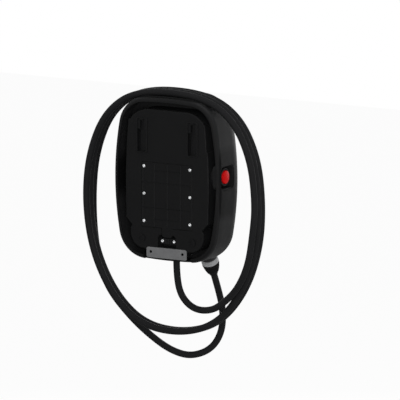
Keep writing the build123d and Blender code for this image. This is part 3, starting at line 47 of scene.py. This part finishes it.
# The view: a long lens forty metres off, behind the box and to the side with the stop button,
# looking slightly down, with the box near the middle of a square picture.
cover_middle = 0.172
view_right = Vector((-0.866, -0.5, 0.0))
view_up = Vector((0.085, -0.147, 0.985))
view_back = view_right.cross(view_up).normalized()
view_centre = Vector((0, 0, cover_middle)) + 0.0797 * view_right - 0.0466 * view_up
view_distance = 40.0
view_width = 0.932
camera_data = bpy.data.cameras.new("photo_view")
camera_data.sensor_width = 36
camera_data.lens = camera_data.sensor_width * view_distance / view_width
camera_data.clip_end = 100
camera = bpy.data.objects.new("photo_view", camera_data)
bpy.context.collection.objects.link(camera)
turn = Matrix((view_right, view_up, view_back)).transposed()
camera.matrix_world = Matrix.Translation(view_centre + view_distance * view_back) @ turn.to_4x4()
bpy.context.scene.camera = camera


# The connector's bend boot: black rubber moulded round the lead, with shallow rings in its taper
# that let it flex, pushed up against the collar.
class Tone:
    """A shader socket that can be used in sums."""

    def __init__(self, tree, socket):
        self.tree = tree
        self.socket = socket

    def mix_in(self, operation, other, swap=False):
        """One Math node on this socket and another socket or number."""
        node = self.tree.nodes.new("ShaderNodeMath")
        node.operation = operation
        first, second = (other, self) if swap else (self, other)
        for place, value in zip(node.inputs, (first, second)):
            if isinstance(value, Tone):
                self.tree.links.new(value.socket, place)
            elif value is not None:
                place.default_value = value
        return Tone(self.tree, node.outputs[0])

    def __add__(self, other):
        return self.mix_in("ADD", other)

    __radd__ = __add__

    def __sub__(self, other):
        return self.mix_in("SUBTRACT", other)

    def __rsub__(self, other):
        return self.mix_in("SUBTRACT", other, swap=True)

    def __mul__(self, other):
        return self.mix_in("MULTIPLY", other)

    __rmul__ = __mul__

    def __truediv__(self, other):
        return self.mix_in("DIVIDE", other)

    def __abs__(self):
        return self.mix_in("ABSOLUTE", None)

    def clipped(self):
        """The same, held between 0 and 1."""
        node = self.tree.nodes.new("ShaderNodeClamp")
        self.tree.links.new(self.socket, node.inputs[0])
        return Tone(self.tree, node.outputs[0])


class Finish:
    """One surface finish, built from nodes on the object's own coordinates."""

    def __init__(self, name, metallic=0.0, coat=0.0, coat_roughness=0.1, specular=0.5):
        self.material = bpy.data.materials.new(name)
        self.material.use_nodes = True
        self.tree = self.material.node_tree
        self.shader = next(n for n in self.tree.nodes if n.type == "BSDF_PRINCIPLED")
        self.shader.inputs["Metallic"].default_value = metallic
        self.shader.inputs["Coat Weight"].default_value = coat
        self.shader.inputs["Coat Roughness"].default_value = coat_roughness
        self.shader.inputs["Specular IOR Level"].default_value = specular
        self.place = self.node("ShaderNodeTexCoord", output="Object")

    def node(self, kind, settings=None, output=0, **sockets):
        """Any node: its settings first, then the values or links of its sockets."""
        made = self.tree.nodes.new(kind)
        for key, value in (settings or {}).items():
            setattr(made, key, value)
        for key, value in sockets.items():
            label = key.replace("_", " ")
            socket = next(s for s in made.inputs if s.name == label and s.enabled)
            if isinstance(value, Tone):
                self.tree.links.new(value.socket, socket)
            else:
                socket.default_value = value
        return Tone(self.tree, made.outputs[output])

    def cloud(self, scale, detail=2.0, roughness=0.5):
        """Soft noise from 0 to 1, with a scale in patches per metre."""
        return self.node(
            "ShaderNodeTexNoise", Vector=self.place, Scale=scale, Detail=detail, Roughness=roughness
        )

    def axes(self):
        """The object's own x, y and z, in metres."""
        return [self.node("ShaderNodeSeparateXYZ", output=n, Vector=self.place) for n in range(3)]

    def ramp(self, tone, low, high):
        """0 below the low value, 1 above the high one."""
        return ((tone - low) / (high - low)).clipped()

    def blend(self, factor, first, second):
        """Two colours mixed by a mask."""
        node = self.tree.nodes.new("ShaderNodeMix")
        node.data_type = "RGBA"
        self.tree.links.new(factor.socket, node.inputs[0])
        for place, value in ((node.inputs[6], first), (node.inputs[7], second)):
            if isinstance(value, Tone):
                self.tree.links.new(value.socket, place)
            else:
                place.default_value = (*value, 1.0)
        return Tone(self.tree, node.outputs[2])

    def bump(self, height, distance):
        """Relief from a height in the range 0 to 1, with a depth in metres."""
        normal = self.node("ShaderNodeBump", Height=height, Distance=distance, Strength=1.0)
        self.tree.links.new(normal.socket, self.shader.inputs["Normal"])

    def put(self, **sockets):
        """Set or link the shader's own sockets."""
        for key, value in sockets.items():
            socket = self.shader.inputs[key.replace("_", " ")]
            if isinstance(value, Tone):
                self.tree.links.new(value.socket, socket)
            elif key == "Base_Color":
                socket.default_value = (*value, 1.0)
            else:
                socket.default_value = value
        return self.material


def dress(material, *nodes):
    """Give CAD nodes a finish."""
    for name in nodes:
        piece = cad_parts[name]
        if not piece.material_slots:
            piece.data.materials.append(material)
        for slot in piece.material_slots:
            slot.material = material


rubber_finish = Finish("black_rubber", specular=0.06)
rubber_cloud = rubber_finish.cloud(400, detail=4)
rubber_finish.put(
    Base_Color=rubber_finish.blend(rubber_cloud, (0.005, 0.005, 0.0052), (0.0075, 0.0075, 0.0078)),
    Roughness=0.6 + 0.15 * rubber_cloud,
)
rubber_finish.bump(rubber_cloud, 0.00008)


def drawn_up(name, sides, outline):
    """A round piece drawn up along z through rings of height, half width and half depth."""
    bpy.ops.object.select_all(action="DESELECT")
    height, wide, deep = outline[0]
    bpy.ops.mesh.primitive_circle_add(vertices=sides, fill_type="NGON", location=(0, 0, height))
    piece = bpy.context.object
    piece.name = name
    bpy.ops.object.transform_apply()
    bpy.ops.object.mode_set(mode="EDIT")
    bpy.ops.transform.resize(value=(wide, deep, 1), center_override=(0, 0, height))
    for (low, low_wide, low_deep), (high, high_wide, high_deep) in zip(outline, outline[1:]):
        bpy.ops.mesh.extrude_region_move(TRANSFORM_OT_translate={"value": (0, 0, high - low)})
        bpy.ops.transform.resize(
            value=(high_wide / low_wide, high_deep / low_deep, 1), center_override=(0, 0, high)
        )
    return piece


def closed_up(piece, place, finish=None, angle=35):
    """Leave edit mode with faces turned outwards, smooth the shading and set the piece in place."""
    bpy.ops.mesh.select_all(action="SELECT")
    bpy.ops.mesh.remove_doubles(threshold=0.000001)
    bpy.ops.mesh.normals_make_consistent(inside=False)
    bpy.ops.object.mode_set(mode="OBJECT")
    bpy.ops.object.shade_smooth_by_angle(angle=radians(angle))
    piece.matrix_world = place
    bpy.ops.object.transform_apply()
    if finish:
        piece.data.materials.append(finish.material)
    bpy.ops.object.select_all(action="DESELECT")


connector_place = Matrix.Translation((0, -0.203, -0.049)) @ Matrix.Rotation(-radians(28), 4, "X")
boot_outline = (
    (0.0330, 0.0088),
    (0.0326, 0.0094),
    (0.0300, 0.0099),
    (0.0280, 0.0112),
    (0.0260, 0.0128),
    (0.0235, 0.0139),
    (0.0196, 0.0153),
    (0.0192, 0.0146),
    (0.0180, 0.0148),
    (0.0176, 0.0160),
    (0.0146, 0.0169),
    (0.0142, 0.0162),
    (0.0130, 0.0164),
    (0.0126, 0.0175),
    (0.0096, 0.0181),
    (0.0092, 0.0174),
    (0.0080, 0.0176),
    (0.0076, 0.0184),
    (0.0046, 0.0187),
    (0.0040, 0.0193),
    (0.0004, 0.0193),
    (0.0000, 0.0190),
)
collar_low = -0.0045
boot_fullness = 1.05
boot_rings = [
    (collar_low - drop, boot_fullness * radius, boot_fullness * radius)
    for drop, radius in boot_outline
]
boot = drawn_up("bend_boot", 56, boot_rings)
closed_up(boot, connector_place, rubber_finish)
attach(boot, "housing")
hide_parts("connector_boot")

# The collar between boot and handle: a pale grey plastic ring with softened edges and one fine
# groove round its middle, clipped over the joint.
collar_finish = Finish("pale_collar", specular=0.45)
collar_cloud = collar_finish.cloud(150, detail=3)
collar_finish.put(
    Base_Color=collar_finish.blend(collar_cloud, (0.31, 0.315, 0.32), (0.37, 0.375, 0.38)),
    Roughness=0.4 + 0.1 * collar_cloud,
)
collar_finish.bump(collar_cloud, 0.00004)
collar_outline = (
    (collar_low, 0.0190),
    (-0.0042, 0.0197),
    (-0.0035, 0.0202),
    (-0.0026, 0.0204),
    (0.0020, 0.0204),
    (0.0022, 0.0200),
    (0.0026, 0.0200),
    (0.0028, 0.0204),
    (0.0060, 0.0202),
    (0.0074, 0.0199),
    (0.0082, 0.0194),
    (0.0085, 0.0187),
)
collar_rings = [(height, radius, radius) for height, radius in collar_outline]
collar = drawn_up("pale_collar", 64, collar_rings)
closed_up(collar, connector_place, collar_finish, angle=50)
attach(collar, "housing")
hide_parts("connector_collar")

# The connector's handle: two satin black half shells, joined along a seam down the middle, with a
# swelling grip that bends over to the plug. A softer pad is let into each side of the grip.
handle_finish = Finish("handle_satin", specular=0.3)
handle_cloud = handle_finish.cloud(40, detail=3)
handle_fine = handle_finish.cloud(1800, detail=2)
handle_finish.put(
    Base_Color=handle_finish.blend(handle_cloud, (0.008, 0.008, 0.0086), (0.012, 0.012, 0.0128)),
    Roughness=0.4 + 0.12 * handle_cloud,
)
handle_finish.bump(handle_fine, 0.00009)
handle_outline = (
    (0.0085, 0.0180, 0.0180),
    (0.0090, 0.0186, 0.0185),
    (0.0120, 0.0185, 0.0180),
    (0.0200, 0.0179, 0.0169),
    (0.0315, 0.0175, 0.0161),
    (0.0430, 0.0179, 0.0164),
    (0.0550, 0.0188, 0.0172),
    (0.0670, 0.0200, 0.0185),
    (0.0780, 0.0218, 0.0207),
    (0.0880, 0.0239, 0.0236),
)
handle = drawn_up("connector_shell", 48, handle_outline)
bend_steps = 7
bend_turn = radians(42) / bend_steps
bend_radius = 0.045
bend_centre = Vector((0, bend_radius, 0.088))
grip_start = 0.0236
grip_end = 0.031
grip_last = grip_start
for count in range(bend_steps):
    grip_next = grip_start + (grip_end - grip_start) * (count + 1) / bend_steps
    before, after = count * bend_turn, (count + 1) * bend_turn
    first = bend_centre + bend_radius * Vector((0, -cos(before), sin(before)))
    second = bend_centre + bend_radius * Vector((0, -cos(after), sin(after)))
    bpy.ops.mesh.extrude_region_move(TRANSFORM_OT_translate={"value": second - first})
    grow = grip_next / grip_last
    bpy.ops.transform.resize(value=(grow, grow, grow), center_override=second)
    bpy.ops.transform.rotate(value=bend_turn, orient_axis="X", center_override=second)
    grip_last = grip_next


def pick(piece, test, kind="polygons"):
    """Select the faces or corners of a piece that pass a test, in edit mode."""
    bpy.ops.mesh.select_mode(type="FACE" if kind == "polygons" else "VERT")
    bpy.ops.mesh.select_all(action="DESELECT")
    bpy.ops.object.mode_set(mode="OBJECT")
    for item in getattr(piece.data, kind):
        item.select = test(item)
    bpy.ops.object.mode_set(mode="EDIT")


seam_half_width = 0.0004
seam_depth = 0.0007
for side in (-1, 1):
    bpy.ops.mesh.select_all(action="SELECT")
    bpy.ops.mesh.bisect(plane_co=(side * seam_half_width, 0, 0), plane_no=(1, 0, 0))
pick(handle, lambda corner: abs(corner.co.x) < 0.0001, "vertices")
bpy.ops.transform.shrink_fatten(value=-seam_depth)
handle.data.materials.append(handle_finish.material)
handle.data.materials.append(rubber_finish.material)
pad_low, pad_high = 0.02, 0.067
pad_edge = 0.0015
pad_depth = 0.0006
pad_rib_pitch = 0.003
pick(handle, lambda face: abs(face.normal.x) > 0.8 and pad_low < face.center.z < pad_high)
bpy.ops.mesh.inset(thickness=pad_edge)
bpy.ops.mesh.extrude_region_shrink_fatten(TRANSFORM_OT_shrink_fatten={"value": -pad_depth})
handle.active_material_index = 1
bpy.ops.object.material_slot_assign()
bpy.ops.mesh.subdivide(number_cuts=3)
pick(
    handle,
    lambda face: face.material_index == 1 and int(face.center.z / pad_rib_pitch) % 2 == 0,
)
bpy.ops.mesh.extrude_region_shrink_fatten(TRANSFORM_OT_shrink_fatten={"value": pad_depth})
closed_up(handle, connector_place, angle=30)
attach(handle, "housing")
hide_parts("connector_handle")
dress(handle_finish.material, "connector_nose")

# The charging lead: five-core cable in a smooth black sheath, 16 mm thick. It drops from the gland
# under the box, is laid three times over the seat on top, makes one deeper bight in front and
# ends in the connector that hangs in its holster.
lead_diameter = 0.016
lap_first_depth = 0.019
lap_pitch = 0.0168
last_lap_points = 8
lead_start = [
    (0, -0.047, -0.194),
    (0, -0.047, -0.232),
    (-0.012, -0.046, -0.280),
    (-0.050, -0.042, -0.308),
    (-0.101, -0.034, -0.305),
    (-0.141, -0.024, -0.281),
    (-0.182, -0.015, -0.244),
    (-0.211, -0.014, -0.187),
    (-0.222, -0.016, -0.116),
]
lap = [
    (-0.228, -0.040, 0.0),
    (-0.214, 0.068, 0.0),
    (-0.165, 0.158, 0.02),
    (-0.078, 0.204, 0.05),
    (0.088, 0.204, 0.1),
    (0.176, 0.147, 0.13),
    (0.222, 0.045, 0.17),
    (0.233, -0.072, 0.22),
    (0.214, -0.190, 0.32),
    (0.162, -0.290, 0.45),
    (0.086, -0.354, 0.58),
    (-0.020, -0.366, 0.72),
    (-0.116, -0.336, 0.84),
    (-0.186, -0.252, 0.93),
    (-0.222, -0.147, 0.98),
]
lead_end = [
    (0.227, -0.062, -0.191),
    (0.212, -0.087, -0.284),
    (0.178, -0.145, -0.365),
    (0.133, -0.180, -0.418),
    (0.104, -0.213, -0.448),
    (0.072, -0.242, -0.461),
    (0.036, -0.271, -0.446),
    (0.015, -0.285, -0.406),
    (0.010, -0.282, -0.352),
    (0.0, -0.2442, -0.2985),
    (0.0, -0.2185, -0.2501),
]
route = list(lead_start)
for lap_number, lap_points in enumerate((lap, lap, lap[:last_lap_points])):
    for x, z, share in lap_points:
        route.append((x, -lap_first_depth - lap_pitch * (lap_number + share), z))
route += lead_end
lead_curve = bpy.data.curves.new("lead", "CURVE")
lead_curve.dimensions = "3D"
lead_curve.bevel_depth = lead_diameter / 2
lead_curve.bevel_resolution = 6
lead_curve.resolution_u = 14
lead_line = lead_curve.splines.new("NURBS")
lead_line.points.add(len(route) - 1)
for point, (x, y, z) in zip(lead_line.points, route):
    point.co = (x, y, z + cover_middle, 1)
lead_line.order_u = 3
lead_line.use_endpoint_u = True
lead = bpy.data.objects.new("lead", lead_curve)
bpy.context.collection.objects.link(lead)
sheath = Finish("lead_sheath", specular=0.03)
sheath_cloud = sheath.cloud(35, detail=2)
sheath_mark = sheath.ramp(sheath.cloud(24, detail=4), 0.56, 0.74)
sheath.put(
    Base_Color=sheath.blend(sheath_cloud, (0.0116, 0.0117, 0.0123), (0.0148, 0.0149, 0.0156)),
    Roughness=0.52 + 0.06 * sheath_cloud + 0.05 * sheath_mark,
)
sheath.bump(sheath_cloud, 0.00004)
lead_curve.materials.append(sheath.material)
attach(lead, "housing")
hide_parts("charging_lead")

# The surroundings: a pale floor below the box and a white ground, lit softly from above on both
# sides as in a studio.
world = bpy.data.worlds.new("studio")
bpy.context.scene.world = world
world.use_nodes = True
world_tree = world.node_tree
world_tree.nodes.clear()
world_paths = world_tree.nodes.new("ShaderNodeLightPath")
world_seen = Tone(world_tree, world_paths.outputs["Is Camera Ray"])
world_glossy = Tone(world_tree, world_paths.outputs["Is Glossy Ray"])
world_clear = Tone(world_tree, world_paths.outputs["Is Transmission Ray"])
world_matt = Tone(world_tree, world_paths.outputs["Is Diffuse Ray"])
world_fill = 0.3
world_strength = world_fill * world_matt + (world_seen + world_glossy + world_clear).clipped()
world_light = world_tree.nodes.new("ShaderNodeBackground")
world_light.inputs["Color"].default_value = (1, 1, 1, 1)
world_tree.links.new(world_strength.socket, world_light.inputs["Strength"])
world_out = world_tree.nodes.new("ShaderNodeOutputWorld")
world_tree.links.new(world_light.outputs[0], world_out.inputs[0])
bpy.context.scene.view_settings.view_transform = "Standard"


def softbox(name, place, width, height, power):
    """A soft rectangular lamp that points at the box."""
    data = bpy.data.lights.new(name, "AREA")
    data.shape = "RECTANGLE"
    data.size = width
    data.size_y = height
    data.energy = power
    lamp = bpy.data.objects.new(name, data)
    bpy.context.collection.objects.link(lamp)
    lamp.location = place
    towards_box = Vector((0, 0, 0.1)) - Vector(place)
    lamp.rotation_euler = towards_box.to_track_quat("-Z", "Y").to_euler()


softbox("lamp_key", (-2.96, 5.12, 1.1), 1.6, 1.6, 142)
softbox("lamp_left", (2.6, 1.4, 0.8), 1.5, 1.5, 5)
softbox("lamp_above", (-0.4, 0.7, 2.7), 1.6, 1.6, 27)
softbox("lamp_strip", (-2.6, -1.0, -0.3), 0.25, 2.0, 14)
softbox("lamp_edge", (-2.45, 1.42, -0.1), 0.3, 2.2, 4)
softbox("lamp_side", (-0.5, -4.0, 0.6), 2.0, 2.0, 26)
softbox("lamp_front", (1.6, -3.0, 0.2), 1.8, 1.8, 16)

floor_height = -0.95
floor_whiteness = 0.96
bpy.ops.mesh.primitive_plane_add(size=14, location=(0, 0, floor_height))
floor = bpy.context.object
floor.name = "floor"
floor_finish = bpy.data.materials.new("floor_white")
floor_finish.use_nodes = True
floor_tree = floor_finish.node_tree
floor_tree.nodes.clear()
floor_paths = floor_tree.nodes.new("ShaderNodeLightPath")
floor_diffuse = floor_tree.nodes.new("ShaderNodeBsdfDiffuse")
floor_diffuse.inputs["Color"].default_value = (0.7, 0.7, 0.7, 1)
floor_glow = floor_tree.nodes.new("ShaderNodeEmission")
floor_glow.inputs["Strength"].default_value = 1.0
floor_mix = floor_tree.nodes.new("ShaderNodeMixShader")
floor_out = floor_tree.nodes.new("ShaderNodeOutputMaterial")
floor_seen = floor_whiteness * Tone(floor_tree, floor_paths.outputs["Is Camera Ray"])
floor_tree.links.new(floor_seen.socket, floor_mix.inputs[0])
floor_tree.links.new(floor_diffuse.outputs[0], floor_mix.inputs[1])
floor_tree.links.new(floor_glow.outputs[0], floor_mix.inputs[2])
floor_tree.links.new(floor_mix.outputs[0], floor_out.inputs[0])
floor.data.materials.append(floor_finish)
bpy.ops.object.select_all(action="DESELECT")

# The outer cover and the seat on top of it: one-piece mouldings in black weatherproof plastic with
# a fine spark-eroded grain outside. The faces behind the rim are painted a shade paler, as painted
# light for the light that reaches into the channel. The cover is screwed to the back, and the seat
# to the cover.
cover_finish = Finish("cover_grain", specular=0.07)
cover_grain = cover_finish.cloud(1500, detail=2, roughness=0.6)
cover_patch = cover_finish.cloud(9, detail=3)
cover_x, cover_y, cover_z = cover_finish.axes()
inside_half_width = 0.1395
inside_half_height = 0.189
inside_depth = 0.09
# Painted light: the faces behind the rim get the paler colour below, standing in for light in the
# channel.
cover_inside_painted_light = (
    cover_finish.ramp(-1 * cover_y, 0.002, 0.006)
    * cover_finish.ramp(cover_y + inside_depth, 0.0, 0.004)
    * cover_finish.ramp(inside_half_width - abs(cover_x), 0.0, 0.002)
    * cover_finish.ramp(inside_half_height - abs(cover_z - cover_middle), 0.0, 0.002)
)
cover_black = cover_finish.blend(
    cover_patch, (0.0055, 0.0056, 0.0058), (0.0075, 0.0076, 0.0079)
)
cover_finish.put(
    Base_Color=cover_finish.blend(cover_inside_painted_light, cover_black, (0.019, 0.0192, 0.0198)),
    Roughness=0.47 + 0.1 * cover_patch,
)
cover_finish.bump(cover_grain, 0.00012)
dress(cover_finish.material, "outer_cover", "cable_seat")

# The back and what is screwed to it: satin black mouldings, slightly smoother than the cover, with
# the faint clouding of a large flat moulding. Faces more than about a centimetre behind the back's
# face are painted a shade paler: painted light in the recesses.
back_finish = Finish("back_satin", specular=0.07)
back_patch = back_finish.cloud(14, detail=4)
back_fine = back_finish.cloud(2200, detail=1)
# Painted light: faces more than about a centimetre behind the back's face get the paler colour.
back_recess_painted_light = back_finish.ramp(-1 * back_finish.axes()[1], 0.004, 0.012)
back_black = back_finish.blend(back_patch, (0.0052, 0.0053, 0.0055), (0.0068, 0.0069, 0.0072))
back_finish.put(
    Base_Color=back_finish.blend(back_recess_painted_light, back_black, (0.0125, 0.0127, 0.0131)),
    Roughness=0.42 + 0.14 * back_patch,
)
back_finish.bump(0.7 * back_fine + 0.3 * back_patch, 0.00008)
dress(
    back_finish.material,
    "rear_housing",
    "keyhole_hanger_left",
    "keyhole_hanger_right",
    "access_cover",
    "cable_clamp",
    "clamp_base",
    "stop_pocket",
    "stop_ring",
    "holster",
    "inner_lid",
)

# The wall bracket: folded strip steel, zinc plated and passivated to a dull grey. Two screws hold
# it to the bottom of the back, and two more go through its holes into the wall.
bracket_finish = Finish("dull_zinc", metallic=0.85)
bracket_cells = bracket_finish.node(
    "ShaderNodeTexVoronoi", {"feature": "F1"}, Vector=bracket_finish.place, Scale=220.0
)
bracket_patch = bracket_finish.cloud(70, detail=4)
bracket_finish.put(
    Base_Color=bracket_finish.blend(bracket_patch, (0.135, 0.136, 0.139), (0.195, 0.197, 0.2)),
    Roughness=0.42 + 0.12 * bracket_cells,
)
bracket_finish.bump(bracket_patch, 0.00005)
dress(bracket_finish.material, "wall_bracket")

# The cover's own screws: steel with pan heads, black passivated so that they don't show in the
# channel, driven through the back's flange into the cover's bosses.
dark_screw_finish = Finish("black_zinc", metallic=0.8)
dark_screw_cloud = dark_screw_finish.cloud(900, detail=3)
dark_screw_finish.put(
    Base_Color=dark_screw_finish.blend(
        dark_screw_cloud, (0.012, 0.012, 0.013), (0.024, 0.024, 0.026)
    ),
    Roughness=0.36 + 0.16 * dark_screw_cloud,
)
dark_screw_finish.bump(dark_screw_cloud, 0.00003)
dress(dark_screw_finish.material, "cover_screws")

# The other screws: zinc-plated steel, bright on their heads. They hold the seat, the access cover,
# the bracket, the clamp, the holster, the lid and the board, and grip wires in the terminals.
screw_finish = Finish("bright_zinc", metallic=1.0)
screw_cloud = screw_finish.cloud(900, detail=3)
screw_finish.put(
    Base_Color=screw_finish.blend(screw_cloud, (0.55, 0.56, 0.57), (0.72, 0.73, 0.74)),
    Roughness=0.22 + 0.16 * screw_cloud,
)
screw_finish.bump(screw_cloud, 0.00003)
dress(
    screw_finish.material,
    "seat_screws",
    "access_screws",
    "bracket_screws",
    "clamp_screws",
    "holster_screws",
    "lid_screws",
    "power_board_screws",
    "terminal_screws",
)

# Rubber parts of the box: gaskets, seals and the supply grommet, moulded in the boot's compound
# and squeezed between the pieces that they seal.
dress(
    rubber_finish.material,
    "access_gasket",
    "lid_gasket",
    "gland_seal",
    "stop_seal",
    "supply_grommet",
)

# The gland that the lead leaves the box through: body, lock nut and clamping dome in black
# glass-filled nylon, with a slight sheen, screwed together through the floor of the back.
gland_finish = Finish("gland_nylon", specular=0.45)
gland_cloud = gland_finish.cloud(120, detail=4)
gland_finish.put(
    Base_Color=gland_finish.blend(gland_cloud, (0.009, 0.009, 0.0095), (0.016, 0.016, 0.0165)),
    Roughness=0.38 + 0.14 * gland_cloud,
)
gland_finish.bump(gland_cloud, 0.00006)
dress(gland_finish.material, "lead_gland", "gland_lock_nut", "gland_dome")

# The connector's contacts: silver-plated pins and sleeves in a dark insulating carrier that fills
# the root of the nose.
contact_finish = Finish("silver_plate", metallic=1.0)
contact_cloud = contact_finish.cloud(1400, detail=3)
contact_finish.put(
    Base_Color=contact_finish.blend(contact_cloud, (0.62, 0.6, 0.55), (0.78, 0.77, 0.73)),
    Roughness=0.2 + 0.15 * contact_cloud,
)
contact_finish.bump(contact_cloud, 0.00002)
dress(contact_finish.material, "contact_pins")
carrier_finish = Finish("dark_thermoset", specular=0.4)
carrier_cloud = carrier_finish.cloud(600, detail=3)
carrier_finish.put(
    Base_Color=carrier_finish.blend(carrier_cloud, (0.014, 0.014, 0.015), (0.022, 0.022, 0.023)),
    Roughness=0.5 + 0.14 * carrier_cloud,
)
carrier_finish.bump(carrier_cloud, 0.00005)
dress(
    carrier_finish.material,
    "pin_carrier",
    "contactors",
    "current_sensor",
    "filter_choke",
    "stop_barrel",
    "stop_nut",
    "stop_contact_block",
    "stop_plunger",
)

# The stop button's cap: glossy red plastic, moulded in one piece, which stands in a dark ring in
# the side pocket and is snapped onto the plunger.
button_finish = Finish("stop_red", specular=0.07)
button_cloud = button_finish.cloud(80, detail=3)
button_finish.put(
    Base_Color=button_finish.blend(button_cloud, (0.58, 0.0035, 0.0035), (0.68, 0.005, 0.005)),
    Roughness=0.33 + 0.1 * button_cloud,
)
button_finish.bump(button_finish.cloud(1200, detail=2), 0.00003)
dress(button_finish.material, "stop_head")

# The stop button's return spring: drawn steel wire, five turns round the plunger, copied as it
# stands and fixed to the housing. Its inner end rests on the barrel's floor.
wire_finish = Finish("drawn_wire", metallic=1.0)
wire_cloud = wire_finish.cloud(1500, detail=2)
wire_finish.put(
    Base_Color=wire_finish.blend(wire_cloud, (0.5, 0.5, 0.5), (0.62, 0.62, 0.62)),
    Roughness=0.25 + 0.12 * wire_cloud,
)
spring = bpy.data.objects.new("return_spring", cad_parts["stop_spring"].data.copy())
bpy.context.collection.objects.link(spring)
bpy.context.view_layer.objects.active = spring
spring.select_set(True)
bpy.ops.object.mode_set(mode="EDIT")
closed_up(spring, Matrix(), angle=60)
spring.data.materials.clear()
spring.data.materials.append(wire_finish.material)
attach(spring, "housing")
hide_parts("stop_spring")
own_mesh(spring)

# The front: a polished black plastic panel set into the cover's face, with a light bar of frosted
# clear plastic let into it.
panel_finish = Finish("panel_gloss", coat=0.6, coat_roughness=0.04)
panel_cloud = panel_finish.cloud(20, detail=3)
panel_finish.put(
    Base_Color=panel_finish.blend(panel_cloud, (0.006, 0.006, 0.0066), (0.009, 0.009, 0.0098)),
    Roughness=0.12 + 0.05 * panel_cloud,
)
dress(panel_finish.material, "front_panel")
light_finish = Finish("light_bar_clear")
light_cloud = light_finish.cloud(500, detail=2)
light_finish.put(
    Base_Color=light_finish.blend(light_cloud, (0.55, 0.6, 0.6), (0.66, 0.7, 0.7)),
    Roughness=0.3 + 0.1 * light_cloud,
)
light_finish.shader.inputs["Transmission Weight"].default_value = 0.3
dress(light_finish.material, "light_bar")

# The circuit boards: glass-epoxy laminate under green solder mask, with copper tracks below it
# that show as paler lines. They stand on posts of the back and the lid, and on columns.
board_finish = Finish("solder_mask", coat=0.3, coat_roughness=0.2)
board_flat = board_finish.node(
    "ShaderNodeMapping", Vector=board_finish.place, Rotation=(pi / 2, 0, 0)
)
board_tracks = board_finish.node(
    "ShaderNodeTexBrick",
    {"offset": 0.4},
    output=1,
    Vector=board_flat,
    Scale=60.0,
    Mortar_Size=0.03,
)
board_cloud = board_finish.cloud(90, detail=3)
board_finish.put(
    Base_Color=board_finish.blend(board_tracks, (0.012, 0.09, 0.035), (0.03, 0.16, 0.07)),
    Roughness=0.3 + 0.1 * board_cloud,
)
board_finish.bump(board_tracks, 0.00004)
dress(board_finish.material, "power_board", "control_board", "coil_board", "light_board")

# Devices on the boards: pale wound and moulded parts, sheet-metal cans and grey terminal blocks,
# soldered or screwed down.
pale_finish = Finish("pale_moulding", specular=0.45)
pale_cloud = pale_finish.cloud(260, detail=4)
pale_finish.put(
    Base_Color=pale_finish.blend(pale_cloud, (0.4, 0.39, 0.35), (0.48, 0.47, 0.43)),
    Roughness=0.45 + 0.15 * pale_cloud,
)
pale_finish.bump(pale_cloud, 0.00005)
dress(pale_finish.material, "transformer", "fuse", "board_columns")
can_finish = Finish("can_metal", metallic=1.0)
can_cloud = can_finish.cloud(700, detail=3)
can_finish.put(
    Base_Color=can_finish.blend(can_cloud, (0.6, 0.6, 0.6), (0.7, 0.7, 0.7)),
    Roughness=0.28 + 0.14 * can_cloud,
)
can_finish.bump(can_cloud, 0.00002)
dress(can_finish.material, "capacitors", "processor", "radio_module")
terminal_finish = Finish("terminal_grey", specular=0.45)
terminal_cloud = terminal_finish.cloud(300, detail=3)
terminal_finish.put(
    Base_Color=terminal_finish.blend(terminal_cloud, (0.2, 0.205, 0.21), (0.26, 0.265, 0.27)),
    Roughness=0.45 + 0.14 * terminal_cloud,
)
terminal_finish.bump(terminal_cloud, 0.00005)
dress(terminal_finish.material, "terminal_blocks")
